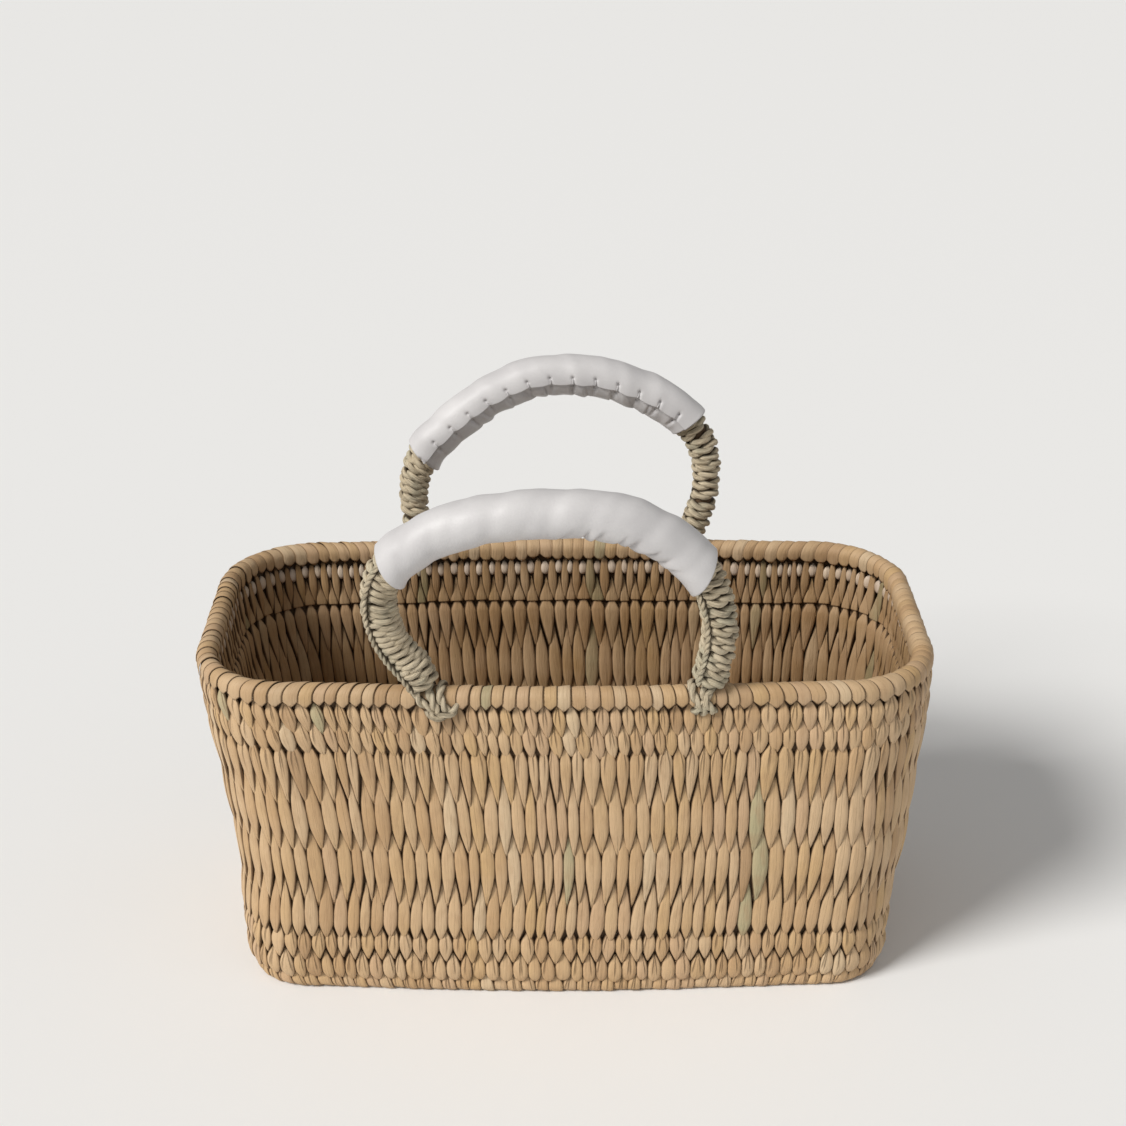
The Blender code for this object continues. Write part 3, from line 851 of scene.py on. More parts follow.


# Painted shade: the cane is painted nearly black, so that where it shows between strips, wraps and
# turns of cord it stands in for the shade in those gaps.
def cane_finish():
    finish, tree, shader = new_finish("aged_cane", 0.7, 0.3)
    where = Field(node_in(tree, "ShaderNodeTexCoord").outputs["Object"])
    x, y, z = along_axes(where)
    grain = noise(tree, from_axes(x * 60, y * 60, z * 1800), 1.0, 4.0, 0.6)
    tint = ramp(grain, ((0.25, (0.060, 0.034, 0.016)), (0.75, (0.130, 0.078, 0.040))))
    feed(shader.inputs["Base Color"], tint)
    ridge = node_in(tree, "ShaderNodeBump", Height=grain, Strength=0.4, Distance=0.0003)
    feed(shader.inputs["Normal"], out_of(ridge, "Normal"))
    return finish


aged_cane = cane_finish()
core_heights = np.linspace(CORE_LOW, CORE_HIGH, CORE_ROWS)
core_rings = [ring_at(outline(z, CORE_INSET - core_half(z)), z) for z in core_heights]
core_rings += [ring_at(outline(z, CORE_INSET + core_half(z)), z) for z in core_heights[::-1]]
reeds = joined("wall_reeds", [ring_mesh("wall_core", core_rings, aged_cane)])
placed_on_basket(reeds, "palm_leaf", "lower_border", "side_wall", "upper_border")
BASE_CORE_INSET = 0.006
base_rings = [ring_at(outline(z, BASE_CORE_INSET), z) for z in (0.0018, 0.0040)]
base_reeds = joined("base_reeds", [ring_mesh("base_core", base_rings, aged_cane, filled=True)])
placed_on_basket(base_reeds, "palm_leaf", "base_panel")

# The side wall: tall strips in four long courses between the borders, inside and out.
# Painted shade: the inside strips are the same leaf with darker tones, standing in for the shade
# inside the basket. The third value given to their finish is the tone of their painted edge shade.
INNER_PAINTED_SHADE = (0.62, 0.57, 0.50)
INNER_SHADED_TONES = [
    (place, tuple(part * shade for part, shade in zip(tone, INNER_PAINTED_SHADE)))
    for place, tone in LEAF_TONES
]
inner_leaf_in_painted_shade = leaf_finish("palm_leaf_inside", INNER_SHADED_TONES, (0.10, 0.055, 0.025))
SIDE_COURSES = (
    Course(144, 5, 0, 141.0, 11.6, 27.5, 1.8, 1.40, 1.6),
    Course(144, 5, 1, 105.0, 29.5, 20.0, 1.9, 1.40, 1.6),
    Course(144, 5, 0, 79.0, 22.0, 26.5, 1.9, 1.40, 1.6),
    Course(144, 5, 1, 44.0, 27.0, 12.2, 1.8, 1.45, 1.6),
)
side = courses("side_out", SIDE_COURSES[:1], outer_guide, 40, pleat=0.0009, tuck=(0.0004, 0.0006),
               finish=pleated_leaf)
side += courses("side_out", SIDE_COURSES[1:], outer_guide, 41, pleat=0.0002)
placed_on_basket(joined("side_wall_strips", side), "palm_leaf", "side_wall")
INNER_TOP_COURSE = Course(144, 5, 0, 141.0, 8.4, 27.0, 1.15, 1.22, 1.5)
# One leaf in the middle of the back is greenish on its inside, from the rim down.
GREEN_LEAF = 0.981
lining = courses("side_in", (INNER_TOP_COURSE, *SIDE_COURSES[2:]), inner_guide, 50, inside=True,
                 finish=inner_leaf_in_painted_shade)
lining += courses("side_in_green", SIDE_COURSES[1:2], inner_guide, 51, inside=True,
                  finish=inner_leaf_in_painted_shade, green=GREEN_LEAF)
placed_on_basket(joined("side_wall_inner_strips", lining), "palm_leaf", "side_wall")

# The upper border: outside, two courses of short leaning strips under the rim. Inside, slim
# strips with the backs of the outer ones between them, over a row of pointed ends. Those backs
# have lightened tones: painted light that stands in for daylight shining through the thin leaf.
FIRST_COURSE = Course(152, 8, 0, 167.0, 8.5, 12.0, 2.0, 1.20, 1.6)
SECOND_COURSE = Course(152, 8, 1, 155.0, 10.2, 10.6, 1.9, 1.75, 1.6)
INNER_STRIPS = Course(144, 5, 1, 158.5, 14.5, 12.0, 2.0, 1.1, 1.4)
PALE_BACKS = Course(144, 5, 0, 166.2, 4.4, 4.4, 2.4, 2.4, 1.6)
POINTED_ENDS = Course(144, 5, 0, 148.6, 13.0, 2.0, 1.0, 8.0, 1.2)
LEAN = (0.085, 0.10)
LEAN_PIVOT = 0.147
# Painted light: the backs' tones are lifted towards white so that they look lit through.
BACKLIT_TONES = [(place, tuple(0.30 + 0.62 * part for part in tone)) for place, tone in LEAF_TONES]
backlit_leaf = leaf_finish("pale_leaf_back", BACKLIT_TONES)
upper = [
    course_mesh("first_course", FIRST_COURSE, outer_guide, 60, lean=LEAN, pleat=0.0008,
                finish=pleated_leaf, over_pivot=FIRST_COURSE.reed / 1000 - LEAN_PIVOT),
    course_mesh("second_course", SECOND_COURSE, outer_guide, 61, lean=LEAN, finish=pleated_leaf,
                over_pivot=SECOND_COURSE.reed / 1000 - LEAN_PIVOT, ends=(NARROW_TIP, 0.1)),
    course_mesh("inner_strips", INNER_STRIPS, inner_guide, 65, inside=True, fill=0.70,
                ends=(0.45, NARROW_TIP), tuck=(0.0006, 0.0008), finish=inner_leaf_in_painted_shade,
                green=GREEN_LEAF),
    course_mesh("pale_backs", PALE_BACKS, inner_guide, 66, inside=True, sides=8, rings=7,
                fill=0.66, stand=-0.0014, tuck=(0.0004, 0.0004), finish=backlit_leaf),
    course_mesh("pointed_ends", POINTED_ENDS, inner_guide, 67, inside=True, rings=7, fill=0.94,
                stand=-0.0007, tuck=(0.0008, 0.0), finish=inner_leaf_in_painted_shade, green=GREEN_LEAF),
]
placed_on_basket(joined("upper_border_strips", upper), "palm_leaf", "upper_border")

# The rim: one flat strip after another laid over the roll, each pulled to a point outside and
# tucked in under itself inside.
RIM_ROLL_WIDTH = 0.0106
RIM_ROLL_HEIGHT = 0.0110
CLEARANCE = 0.0003
RIM_TOP = WALL_HEIGHT + CLEARANCE + RIM_ROLL_HEIGHT


def rim_outline(inset):
    """The plan of the rim, which reaches the full length and depth at its outer face."""
    wall, inner = outline(WALL_HEIGHT), outline(WALL_HEIGHT, inset)
    most = np.abs(wall).max(axis=0)
    ends = np.where(inner[:, 0] > 0, wall[:, 0].max(), -wall[:, 0].min())
    spare = np.column_stack([RIM_LENGTH / 2 - ends, np.full(len(inner), RIM_DEPTH / 2 - most[1])])
    return inner + np.sign(inner) * spare * np.minimum(1, np.abs(inner) / most)


# The section that the wraps follow, as (inset, height): up the outside, over the roll and down
# the inside.
ROLL_RADIUS = 0.0050
WRAP_LEVELS = np.linspace(0.1685, 0.1765, 6)
roll_middle = (RIM_ROLL_WIDTH / 2, RIM_TOP - 0.0004 - ROLL_RADIUS)


def round_roll(radius, turns):
    middle, level = roll_middle
    return [(middle - radius * math.cos(turn), level + radius * math.sin(turn)) for turn in turns]


rim_section = [(0.0002, z) for z in WRAP_LEVELS]
rim_section += round_roll(ROLL_RADIUS, np.linspace(0.0, math.pi, 17))
rim_section += [(RIM_ROLL_WIDTH - 0.0003, z) for z in WRAP_LEVELS[::-1]]
up_section = walked_along(rim_section)
rim_rows = [(up, z, rim_outline(inset)) for up, (inset, z) in zip(up_section, rim_section)]
rim_guide = guide("rim_guide", rim_rows)
RIM_TONES = [(place, tuple(part * 0.88 for part in tone)) for place, tone in LEAF_TONES]
# The third value is the tone of the rim's painted edge shade, lighter than on the wall.
rim_leaf = leaf_finish("rim_leaf", RIM_TONES, (0.24, 0.15, 0.08))
top_of_roll = up_section[len(rim_section) // 2] * 1000
RIM_WRAPS = Course(152, 8, 1, top_of_roll, 13.4, 12.9, 1.3, 1.25, 0.40)
wraps = course_mesh("rim_wraps", RIM_WRAPS, rim_guide, 70, sides=8, rings=16, fill=1.12,
                    stand=0.0001, tuck=(0.0006, 0.0002), shingle=0.0005, ends=(0.3, NARROW_TIP),
                    shoulder=3.2, lean=LEAN, slant=0.15, over_pivot=0.171 - LEAN_PIVOT,
                    finish=rim_leaf, green=GREEN_LEAF)
placed_on_basket(joined("rim_wraps", [wraps]), "rim_leaf", "rim_binding")

# The roll under the wraps, flat where it sits down over the top of the wall's reeds.
ROLL_COVER = 0.0013
ROLL_SEAT = CORE_HIGH - 0.0045
roll_section = round_roll(ROLL_RADIUS - ROLL_COVER, np.linspace(0.0, 2 * math.pi, 17)[:-1])
roll_rings = [ring_at(rim_outline(inset), max(z, ROLL_SEAT)) for inset, z in roll_section]
roll = joined("rim_roll", [ring_mesh("roll", roll_rings, aged_cane)])
placed_on_basket(roll, "rim_leaf", "rim_binding")

for surface in (outer_guide, inner_guide, rim_guide):
    bpy.data.objects.remove(surface)

# The handles: an arch of bundled grass at each long side, wound from foot to grip with one long
# two-ply cord of twisted grass. A second, thinner cord runs up the outside and locks the turns.
HANDLE_REACH = 0.088
HANDLE_RISE = 0.0942
HANDLE_LEAN = 0.0096
GRIPPED_RADIUS = 0.0092
CORD_HALF = 0.0023

# The line of each handle: across is a share of HANDLE_REACH from the basket's middle, and rise
# is a share of HANDLE_RISE above the rim's top.
FRONT_LINE = (
    (-0.739, -0.053), (-0.773, 0.021), (-0.811, 0.098), (-0.900, 0.215), (-0.966, 0.334),
    (-0.998, 0.467), (-0.989, 0.600), (-0.927, 0.720), (-0.812, 0.817), (-0.684, 0.889),
    (-0.555, 0.937), (-0.409, 0.971), (-0.257, 0.992), (-0.110, 0.999), (0.040, 1.000),
    (0.188, 0.989), (0.330, 0.958), (0.466, 0.896), (0.589, 0.815), (0.691, 0.721),
    (0.766, 0.607), (0.810, 0.476), (0.827, 0.334), (0.814, 0.189), (0.783, 0.048),
    (0.761, -0.053),
)
BACK_LINE = (
    (-0.864, -0.053), (-0.892, 0.016), (-0.924, 0.123), (-0.939, 0.242), (-0.931, 0.362),
    (-0.901, 0.473), (-0.839, 0.575), (-0.753, 0.659), (-0.655, 0.739), (-0.556, 0.811),
    (-0.450, 0.879), (-0.330, 0.937), (-0.207, 0.979), (-0.084, 0.999), (0.052, 1.000),
    (0.177, 0.992), (0.307, 0.967), (0.427, 0.929), (0.545, 0.879), (0.653, 0.820),
    (0.752, 0.743), (0.832, 0.648), (0.880, 0.534), (0.894, 0.415), (0.885, 0.291),
    (0.855, 0.178), (0.811, 0.074), (0.773, -0.053),
)
Handle = namedtuple("Handle", "name line side foot_half grip_start grip_end left_pitch right_pitch "
                    "left_foot right_foot")
HANDLES = (
    Handle("front", FRONT_LINE, -1, 0.0089, 0.2475, 0.7790, 0.0042, 0.0051, -0.700, 0.750),
    Handle("back", BACK_LINE, 1, 0.0077, 0.1870, 0.7420, 0.0043, 0.0053, -0.875, 0.785),
)
# A handle's line has LINE_STEPS + 1 evenly spaced points, each with its directions outward and
# sideways.
Line = namedtuple("Line", "points outward sideways length")
LINE_STEPS = 1200


def rim_crest(x, side):
    """The point on the rim's top at x, on the front (-1) or the back (1)."""
    crest = rim_outline(RIM_ROLL_WIDTH / 2)
    crest = crest[crest[:, 1] * side > 0]
    order = np.argsort(crest[:, 0])
    return np.array([x, np.interp(x, crest[order, 0], crest[order, 1]), RIM_TOP])


def handle_line(handle):
    """The line in the middle of a handle, drawn smoothly through its marks."""
    foot = rim_crest(HANDLE_REACH * handle.line[0][0], handle.side)
    marks = np.array(
        [
            (
                HANDLE_REACH * across,
                foot[1] + handle.side * HANDLE_LEAN * max(0.0, rise),
                foot[2] + HANDLE_RISE * rise,
            )
            for across, rise in handle.line
        ]
    )
    padded = np.concatenate([[2 * marks[0] - marks[1]], marks, [2 * marks[-1] - marks[-2]]])
    fine = []
    for a, b, c, d in zip(padded, padded[1:], padded[2:], padded[3:]):
        for t in np.arange(12) / 12:
            bend = (2 * a - 5 * b + 4 * c - d) * t * t + (3 * b - a - 3 * c + d) * t**3
            fine.append(0.5 * (2 * b + (c - a) * t + bend))
    fine = np.array(fine + [marks[-1]])
    walked = walked_along(fine)
    at = np.linspace(0, walked[-1], LINE_STEPS + 1)
    points = np.stack([np.interp(at, walked, fine[:, k]) for k in range(3)], axis=1)
    along = np.gradient(points, axis=0)
    along /= np.linalg.norm(along, axis=1)[:, None]
    tip = math.atan2(HANDLE_LEAN, HANDLE_RISE)
    plane = np.array([0, handle.side * math.cos(tip), -math.sin(tip)])
    outward = np.cross(plane, along) * -handle.side
    outward /= np.linalg.norm(outward, axis=1)[:, None]
    sideways = np.cross(outward, along) * handle.side
    return Line(points, outward, sideways, walked[-1])


def handle_half(handle, share):
    """The handle's radius at a share of its length."""
    leg = np.minimum(share / handle.grip_start, (1 - share) / (1 - handle.grip_end))
    return handle.foot_half + (GRIPPED_RADIUS - handle.foot_half) * np.minimum(1.0, leg) ** 3


def on_line(values, share):
    """Values of a handle's line at shares of its length, read between its points."""
    place = np.clip(share * LINE_STEPS, 0, LINE_STEPS)
    low = np.minimum(place.astype(int), LINE_STEPS - 1)
    part = (place - low)[..., None]
    return values[low] * (1 - part) + values[low + 1] * part


def round_line(line, share, turn, half):
    """Points at a turn and a distance from the line, and the way out from it at each."""
    away = np.cos(turn)[..., None] * on_line(line.outward, share)
    away = away + np.sin(turn)[..., None] * on_line(line.sideways, share)
    return on_line(line.points, share) + away * half[..., None], away


TURN_STEPS = 36
PITCH_WANDER = 0.16
CORD_WANDER = 0.0004


def wound_path(handle, line, first, last, pitch, seed):
    """The middle of a cord wound round the handle from one share of its length to another, and
    the way out from the handle at each of its points."""
    turns = round(abs(last - first) * line.length / pitch)
    steps = turns * TURN_STEPS
    share = np.linspace(first, last, steps + 1)
    turn = np.linspace(0, 2 * math.pi * turns, steps + 1)
    wander = np.random.default_rng(seed)

    def spread_out(values, spacing):
        return np.interp(np.arange(steps + 1), np.arange(0, steps + spacing, spacing), values)

    drift = spread_out(wander.normal(0, PITCH_WANDER, turns + 1), TURN_STEPS) * pitch
    share = share + drift / line.length
    half = handle_half(handle, share) - CORD_HALF * 1.12
    half = half + spread_out(
        wander.uniform(-CORD_WANDER, CORD_WANDER, 3 * turns + 1), TURN_STEPS // 3
    )
    return round_line(line, share, turn, half)


CORD = {
    "float": ("Cord Half", "Lay", "Step", "Fullness", "Raggedness"),
    "int": ("Sides", "Seed"),
    "material": ("Material",),
}


def cord_tree():
    """A laid cord along a line: plies of grass twisted round each other, each a little uneven."""
    tree, given = tree_with("laid_cord", CORD)
    line = node_in(tree, "GeometryNodeMeshToCurve", Mesh=given["Geometry"])
    fine = node_in(tree, "GeometryNodeResampleCurve", {"mode": "LENGTH"}, Curve=out_of(line),
                   Length=given["Step"])
    measured = tree.nodes.new("GeometryNodeSplineParameter")
    walked = out_of(measured, "Length")
    path = stored(out_of(fine), "walked", walked)
    ring = node_in(tree, "GeometryNodeCurvePrimitiveCircle", {"mode": "RADIUS"},
                   Resolution=given["Sides"], Radius=1.0)
    circle = stored(out_of(ring), "around", out_of(tree.nodes.new("GeometryNodeSplineParameter"),
                                                   "Factor"))
    normal = out_of(tree.nodes.new("GeometryNodeInputNormal"))
    tangent = out_of(tree.nodes.new("GeometryNodeInputTangent"))
    other = vectors("CROSS_PRODUCT", tangent, normal)
    join = tree.nodes.new("GeometryNodeJoinGeometry")
    plies = []
    for k in range(2):
        turn = walked * (2 * math.pi) / given["Lay"] + k * math.pi
        off = given["Cord Half"] * 0.47
        offset = vectors(
            "ADD",
            vectors("SCALE", normal, scale=alone(turn, "COSINE") * off),
            vectors("SCALE", other, scale=alone(turn, "SINE") * off),
        )
        lump = node_in(tree, "ShaderNodeTexNoise", {"noise_dimensions": "2D"},
                       Vector=from_axes(walked * 210, given["Seed"] + k * 5.0, 0.0), Scale=1.0)
        thick = given["Cord Half"] * given["Fullness"]
        thick = thick * (1 + given["Raggedness"] * (out_of(lump, "Fac") - 0.5))
        ply = stored(path, "ply", given["Seed"] + k * 0.5)
        moved = node_in(tree, "GeometryNodeSetPosition", Geometry=ply, Offset=offset)
        sized = node_in(tree, "GeometryNodeSetCurveRadius", Curve=out_of(moved), Radius=thick)
        tube = node_in(tree, "GeometryNodeCurveToMesh", Curve=out_of(sized), Profile_Curve=circle,
                       Scale=thick, Fill_Caps=True)
        plies.append(out_of(tube))
    for ply in plies[::-1]:
        tree.links.new(ply.socket, join.inputs[0])
    # How far each ply's surface faces the open side; the cord's finish paints shade where it faces in.
    facing = vectors("DOT_PRODUCT", out_of(tree.nodes.new("GeometryNodeInputNormal")),
                     named(tree, "away", "FLOAT_VECTOR"))
    shaded = stored(out_of(join), "in_the_open", facing)
    finished_tree(tree, shaded, given["Material"])
    return tree


laid_cord = cord_tree()


def laid(name, paths, away, half, seed, finish, lay=0.015, sides=8, fullness=0.78, ragged=0.5,
         step=0.0012):
    """A mesh of cords that follow paths of points. away is the open side at each point."""
    line = bpy.data.meshes.new(name)
    ends, first = [], 0
    for path in paths:
        ends += [(first + i, first + i + 1) for i in range(len(path) - 1)]
        first += len(path)
    line.from_pydata(np.concatenate(paths).tolist(), ends, [])
    away = np.concatenate(away)
    line.attributes.new("away", "FLOAT_VECTOR", "POINT").data.foreach_set("vector", away.ravel())
    sizes = {"Cord Half": half, "Lay": lay, "Step": step, "Sides": sides}
    sizes |= {"Fullness": fullness, "Raggedness": ragged, "Seed": seed, "Material": finish}
    return grown(name, laid_cord, sizes, line)


CORD_TONES = (
    (0.00, (0.200, 0.145, 0.085)),
    (0.34, (0.470, 0.385, 0.255)),
    (0.50, (0.680, 0.575, 0.410)),
    (0.66, (0.560, 0.480, 0.345)),
    (1.00, (0.820, 0.715, 0.550)),
)
GREEN_GRASS_TONE = (0.45, 0.45, 0.33)
CRACK_TONE = (0.14, 0.10, 0.06)
TUCKED_SHADE_TONE = (0.060, 0.040, 0.022)


def cord_finish():
    """Twisted dry grass: grey straw with long fibres that turn with each ply, and painted shade on the
    sides of the plies that face in towards the handle.
    """
    finish, tree, shader = new_finish("grass_cord", 0.72, 0.3)
    walked = attribute(tree, "walked", "Fac")
    around = attribute(tree, "around", "Fac")
    ply = attribute(tree, "ply", "Fac")
    turned = around * 6.0 + walked * 55
    fibre = noise(tree, from_axes(turned * 3.2, walked * 130, ply * 9.7), 1.0, 5.0, 0.7)
    where = Field(node_in(tree, "ShaderNodeTexCoord").outputs["Object"])
    cloud = noise(tree, where, 120.0, 3.0)
    tint = ramp(fibre * 0.55 + cloud * 0.45, CORD_TONES)
    green = eased(noise(tree, where, 60.0, 2.0), 0.52, 0.68) * 0.35
    tint = mixed(green, tint, GREEN_GRASS_TONE)
    crack = 1 - eased(fibre, 0.30, 0.46)
    tint = mixed(crack * 0.7, tint, CRACK_TONE)
    # Painted shade on the sides that face in towards the handle and the other turns.
    tucked_shade = 1 - eased(attribute(tree, "in_the_open", "Fac"), 0.0, 0.70)
    tint = mixed(tucked_shade * 0.90, tint, TUCKED_SHADE_TONE)
    feed(shader.inputs["Base Color"], tint)
    ridge = node_in(tree, "ShaderNodeBump", Height=fibre, Strength=1.0, Distance=0.0011)
    feed(shader.inputs["Normal"], out_of(ridge, "Normal"))
    return finish


grass_cord = cord_finish()
BUNDLE_SIDES = 16
BUNDLE_DEPTH = 0.0033
LEG_STOPS = 60


def nearest(stops):
    return (stops * LINE_STEPS).round().astype(int)


def bundle(handle, line, first, last):
    """The grass bundle inside the winding, closed at both ends."""
    stops = np.linspace(first, last, LEG_STOPS)
    turn = np.linspace(0, 2 * math.pi, BUNDLE_SIDES + 1)[:-1, None]
    rings = [
        line.points[i] + half * (np.cos(turn) * line.outward[i] + np.sin(turn) * line.sideways[i])
        for i, half in zip(nearest(stops), handle_half(handle, stops) - BUNDLE_DEPTH)
    ]
    return ring_mesh("bundle", rings, aged_cane, filled=True)


FOOT_SHARE = 0.028
UNDER_GRIP = 0.02
LOCK_TURN = math.radians(50)
LOCK_HALF = 0.0014
LOCK_LIFT = 0.0002
for handle in HANDLES:
    line = handle_line(handle)
    legs = (
        (FOOT_SHARE, handle.grip_start + UNDER_GRIP, handle.left_pitch),
        (1 - FOOT_SHARE, handle.grip_end - UNDER_GRIP, handle.right_pitch),
    )
    parts = [bundle(handle, line, FOOT_SHARE, 1 - FOOT_SHARE)]
    for k, (first, last, pitch) in enumerate(legs):
        wound, away = wound_path(handle, line, first, last, pitch, 10 * k + handle.side + 1)
        parts.append(laid("winding", [wound], [away], CORD_HALF, 3 + k, grass_cord))
        stops = np.linspace(first, last, LEG_STOPS)
        rows = nearest(stops)
        turn = LOCK_TURN if k == 0 else math.pi - LOCK_TURN
        reach = (handle_half(handle, stops) + LOCK_LIFT)[:, None]
        away = math.cos(turn) * line.outward[rows] + math.sin(turn) * line.sideways[rows]
        lock = line.points[rows] + reach * away
        parts.append(laid("lock", [lock], [away], LOCK_HALF, 9 + k, grass_cord, lay=0.0075,
                          sides=6, step=0.0009))
    wound_handle = joined(f"{handle.name}_handle_winding", parts)
    placed_on_basket(wound_handle, "grass_cord", f"{handle.name}_handle")

# The foot lashings: the same cord carried over the rim in a few turns and stitched through the
# wall below it, so that each handle's foot stands on the rim.
WALL_LEVELS = (0.158, 0.162, 0.1655)
LASHING_HALF = 0.0019
rim_plans = [(outline(z), z) for z in WALL_LEVELS]
rim_plans += [(rim_outline(inset), z) for inset, z in rim_section]
rim_plans += [(outline(z, WALL_THICKNESS), z) for z in WALL_LEVELS[::-1]]


def over_rim(x, side, down, lift):
    """The point at x that lies some way down from the rim's top, outside (+) or inside (-)."""
    profile = []
    for plan, z in rim_plans:
        near = plan[plan[:, 1] * side > 0]
        order = np.argsort(near[:, 0])
        profile.append((np.interp(x, near[order, 0], near[order, 1]), z))
    profile = np.array(profile)
    along = walked_along(profile)
    top = along[profile[:, 1].argmax()]
    heading = np.gradient(profile, along, axis=0)
    y, z, dy, dz = [np.interp(top - down, along, v) for v in (*profile.T, *heading.T)]
    scale = math.hypot(dy, dz)
    return np.array([x, y + side * lift * dz / scale, z - side * lift * dy / scale])


def lashing(handle, centre, marks):
    """A smooth path over the rim through its marks, and the way off the surface at each point."""
    marks = np.array(marks) / 1000
    at = np.linspace(0, len(marks) - 1, 12 * (len(marks) - 1) + 1)
    rows = np.stack([np.interp(at, np.arange(len(marks)), marks[:, k]) for k in range(3)], axis=1)
    for _ in range(6):
        rows[1:-1] = (rows[:-2] + 2 * rows[1:-1] + rows[2:]) / 4
    path = [over_rim(centre + a, handle.side, down, lift) for a, down, lift in rows]
    above = [over_rim(centre + a, handle.side, down, lift + 1) for a, down, lift in rows]
    return np.array(path), np.array(above) - np.array(path)


# Each row is one turn of cord through marks of (across, down, lift) in millimetres: across from
# the handle's foot, down from the rim's top, on the outside (+) or inside (-), and off the surface.
# The last row on the left is the hitch that ties the turns.
LEFT_LASHINGS = (
    ((-4, -13, -1.5), (-6, -6, 1.4), (-9, 0, 1.2), (-11, 4, 1.4), (-8, 8, 1.4), (-3, 11, 1.5),
     (1, 14, -2)),
    ((-2, -14, -1.5), (-3, -6, 1.4), (-4, 0, 1.2), (-4, 4, 1.6), (-2, 8, 2.0), (-0.5, 12, 1.8),
     (0, 17, -2)),
    ((3, -13, -1.5), (3, -6, 1.2), (2, 0, 1.0), (1, 4, 1.2), (2, 8, 1.4), (4.5, 12, 1.2),
     (6.5, 15, -2)),
    ((-4.5, 12, 1.0), (-3, 15.5, 2.2), (1, 15, 3.0), (5, 13.8, 2.2), (8, 12.6, 1.2),
     (8.5, 8.5, -1.5)),
)
RIGHT_LASHINGS = (
    ((-4, -13, -1.5), (-5, -6, 1.4), (-5.5, 0, 1.2), (-5.5, 4, 1.4), (-3, 8, 1.4), (0, 12, 1.6),
     (1, 16, -2)),
    ((2, -14, -1.5), (2, -6, 1.4), (2, 0, 1.2), (0, 4, 1.6), (1, 8, 2.0), (4, 12, 1.8),
     (5.5, 15, -2)),
    ((5, -13, -1.5), (5, -6, 1.2), (5, 0, 1.0), (3.5, 4, 1.2), (0, 8, 1.2), (-3, 12, 1.2),
     (-4, 15, -2)),
)
for handle in HANDLES:
    for place, foot, ways in (
        ("left", handle.left_foot, LEFT_LASHINGS), ("right", handle.right_foot, RIGHT_LASHINGS)
    ):
        paths, away = zip(*[lashing(handle, HANDLE_REACH * foot, way) for way in ways])
        strands = laid("lashing", paths, away, LASHING_HALF, 21, grass_cord, lay=0.012)
        name = f"{handle.name}_{place}_foot"
        placed_on_basket(joined(f"{name}_lashing", [strands]), "grass_cord", f"{name}_loop")

# The grips: a sleeve of thin white leather drawn round the middle of each handle. Its edges lap
# under the arch, on the side that faces the basket, and the stitches there gather the leather.
GRIP_HALF = 0.0111
LEATHER_THICKNESS = 0.0011
SEAM_TURN = math.radians(-102)
LAP_TURN = math.radians(41)
LAP_RISE = 0.0013
STITCH_PITCH = 0.0122
STITCH_INSET = 0.0034
LOWER_STITCH = 0.0024
HOLE_RADIUS = 0.0008
CREASE_HALF = 0.0007
PUCKER_HALF = 0.0011
EDGE_FADE = 0.0022
EDGE_SCALLOP = 0.0007
EDGE_SWELL = 0.0004
RIDGE_SHARE = 0.82
Sleeve = namedtuple("Sleeve", "handle left_slant right_slant gathers_from gathers_to gather_pitch "
                    "gather_slant gather_height")
SLEEVES = (
    Sleeve(HANDLES[0], 0.42, 0.58, 0.48, 0.93, 0.0086, 0.62, 0.0028),
    Sleeve(HANDLES[1], 0.33, -0.10, 0.10, 0.92, 0.0122, 0.22, 0.0012),
)
# Gentle lumps: each is a wave's length, its turns round the grip, where it starts and its height.
LUMPS = (
    (0.0230, 1, 0.4, 0.00022), (0.0370, 2, 2.1, 0.00020), (0.0145, 1, 4.0, 0.00012),
    (0.0090, 3, 5.1, 0.00005),
)
WRAP_LENGTH = (2 * math.pi + LAP_TURN) * GRIP_HALF
FULL_TURN = 2 * math.pi * GRIP_HALF


def smooth_step(value, low, high):
    share = np.clip((value - low) / (high - low), 0, 1)
    return share * share * (3 - 2 * share)


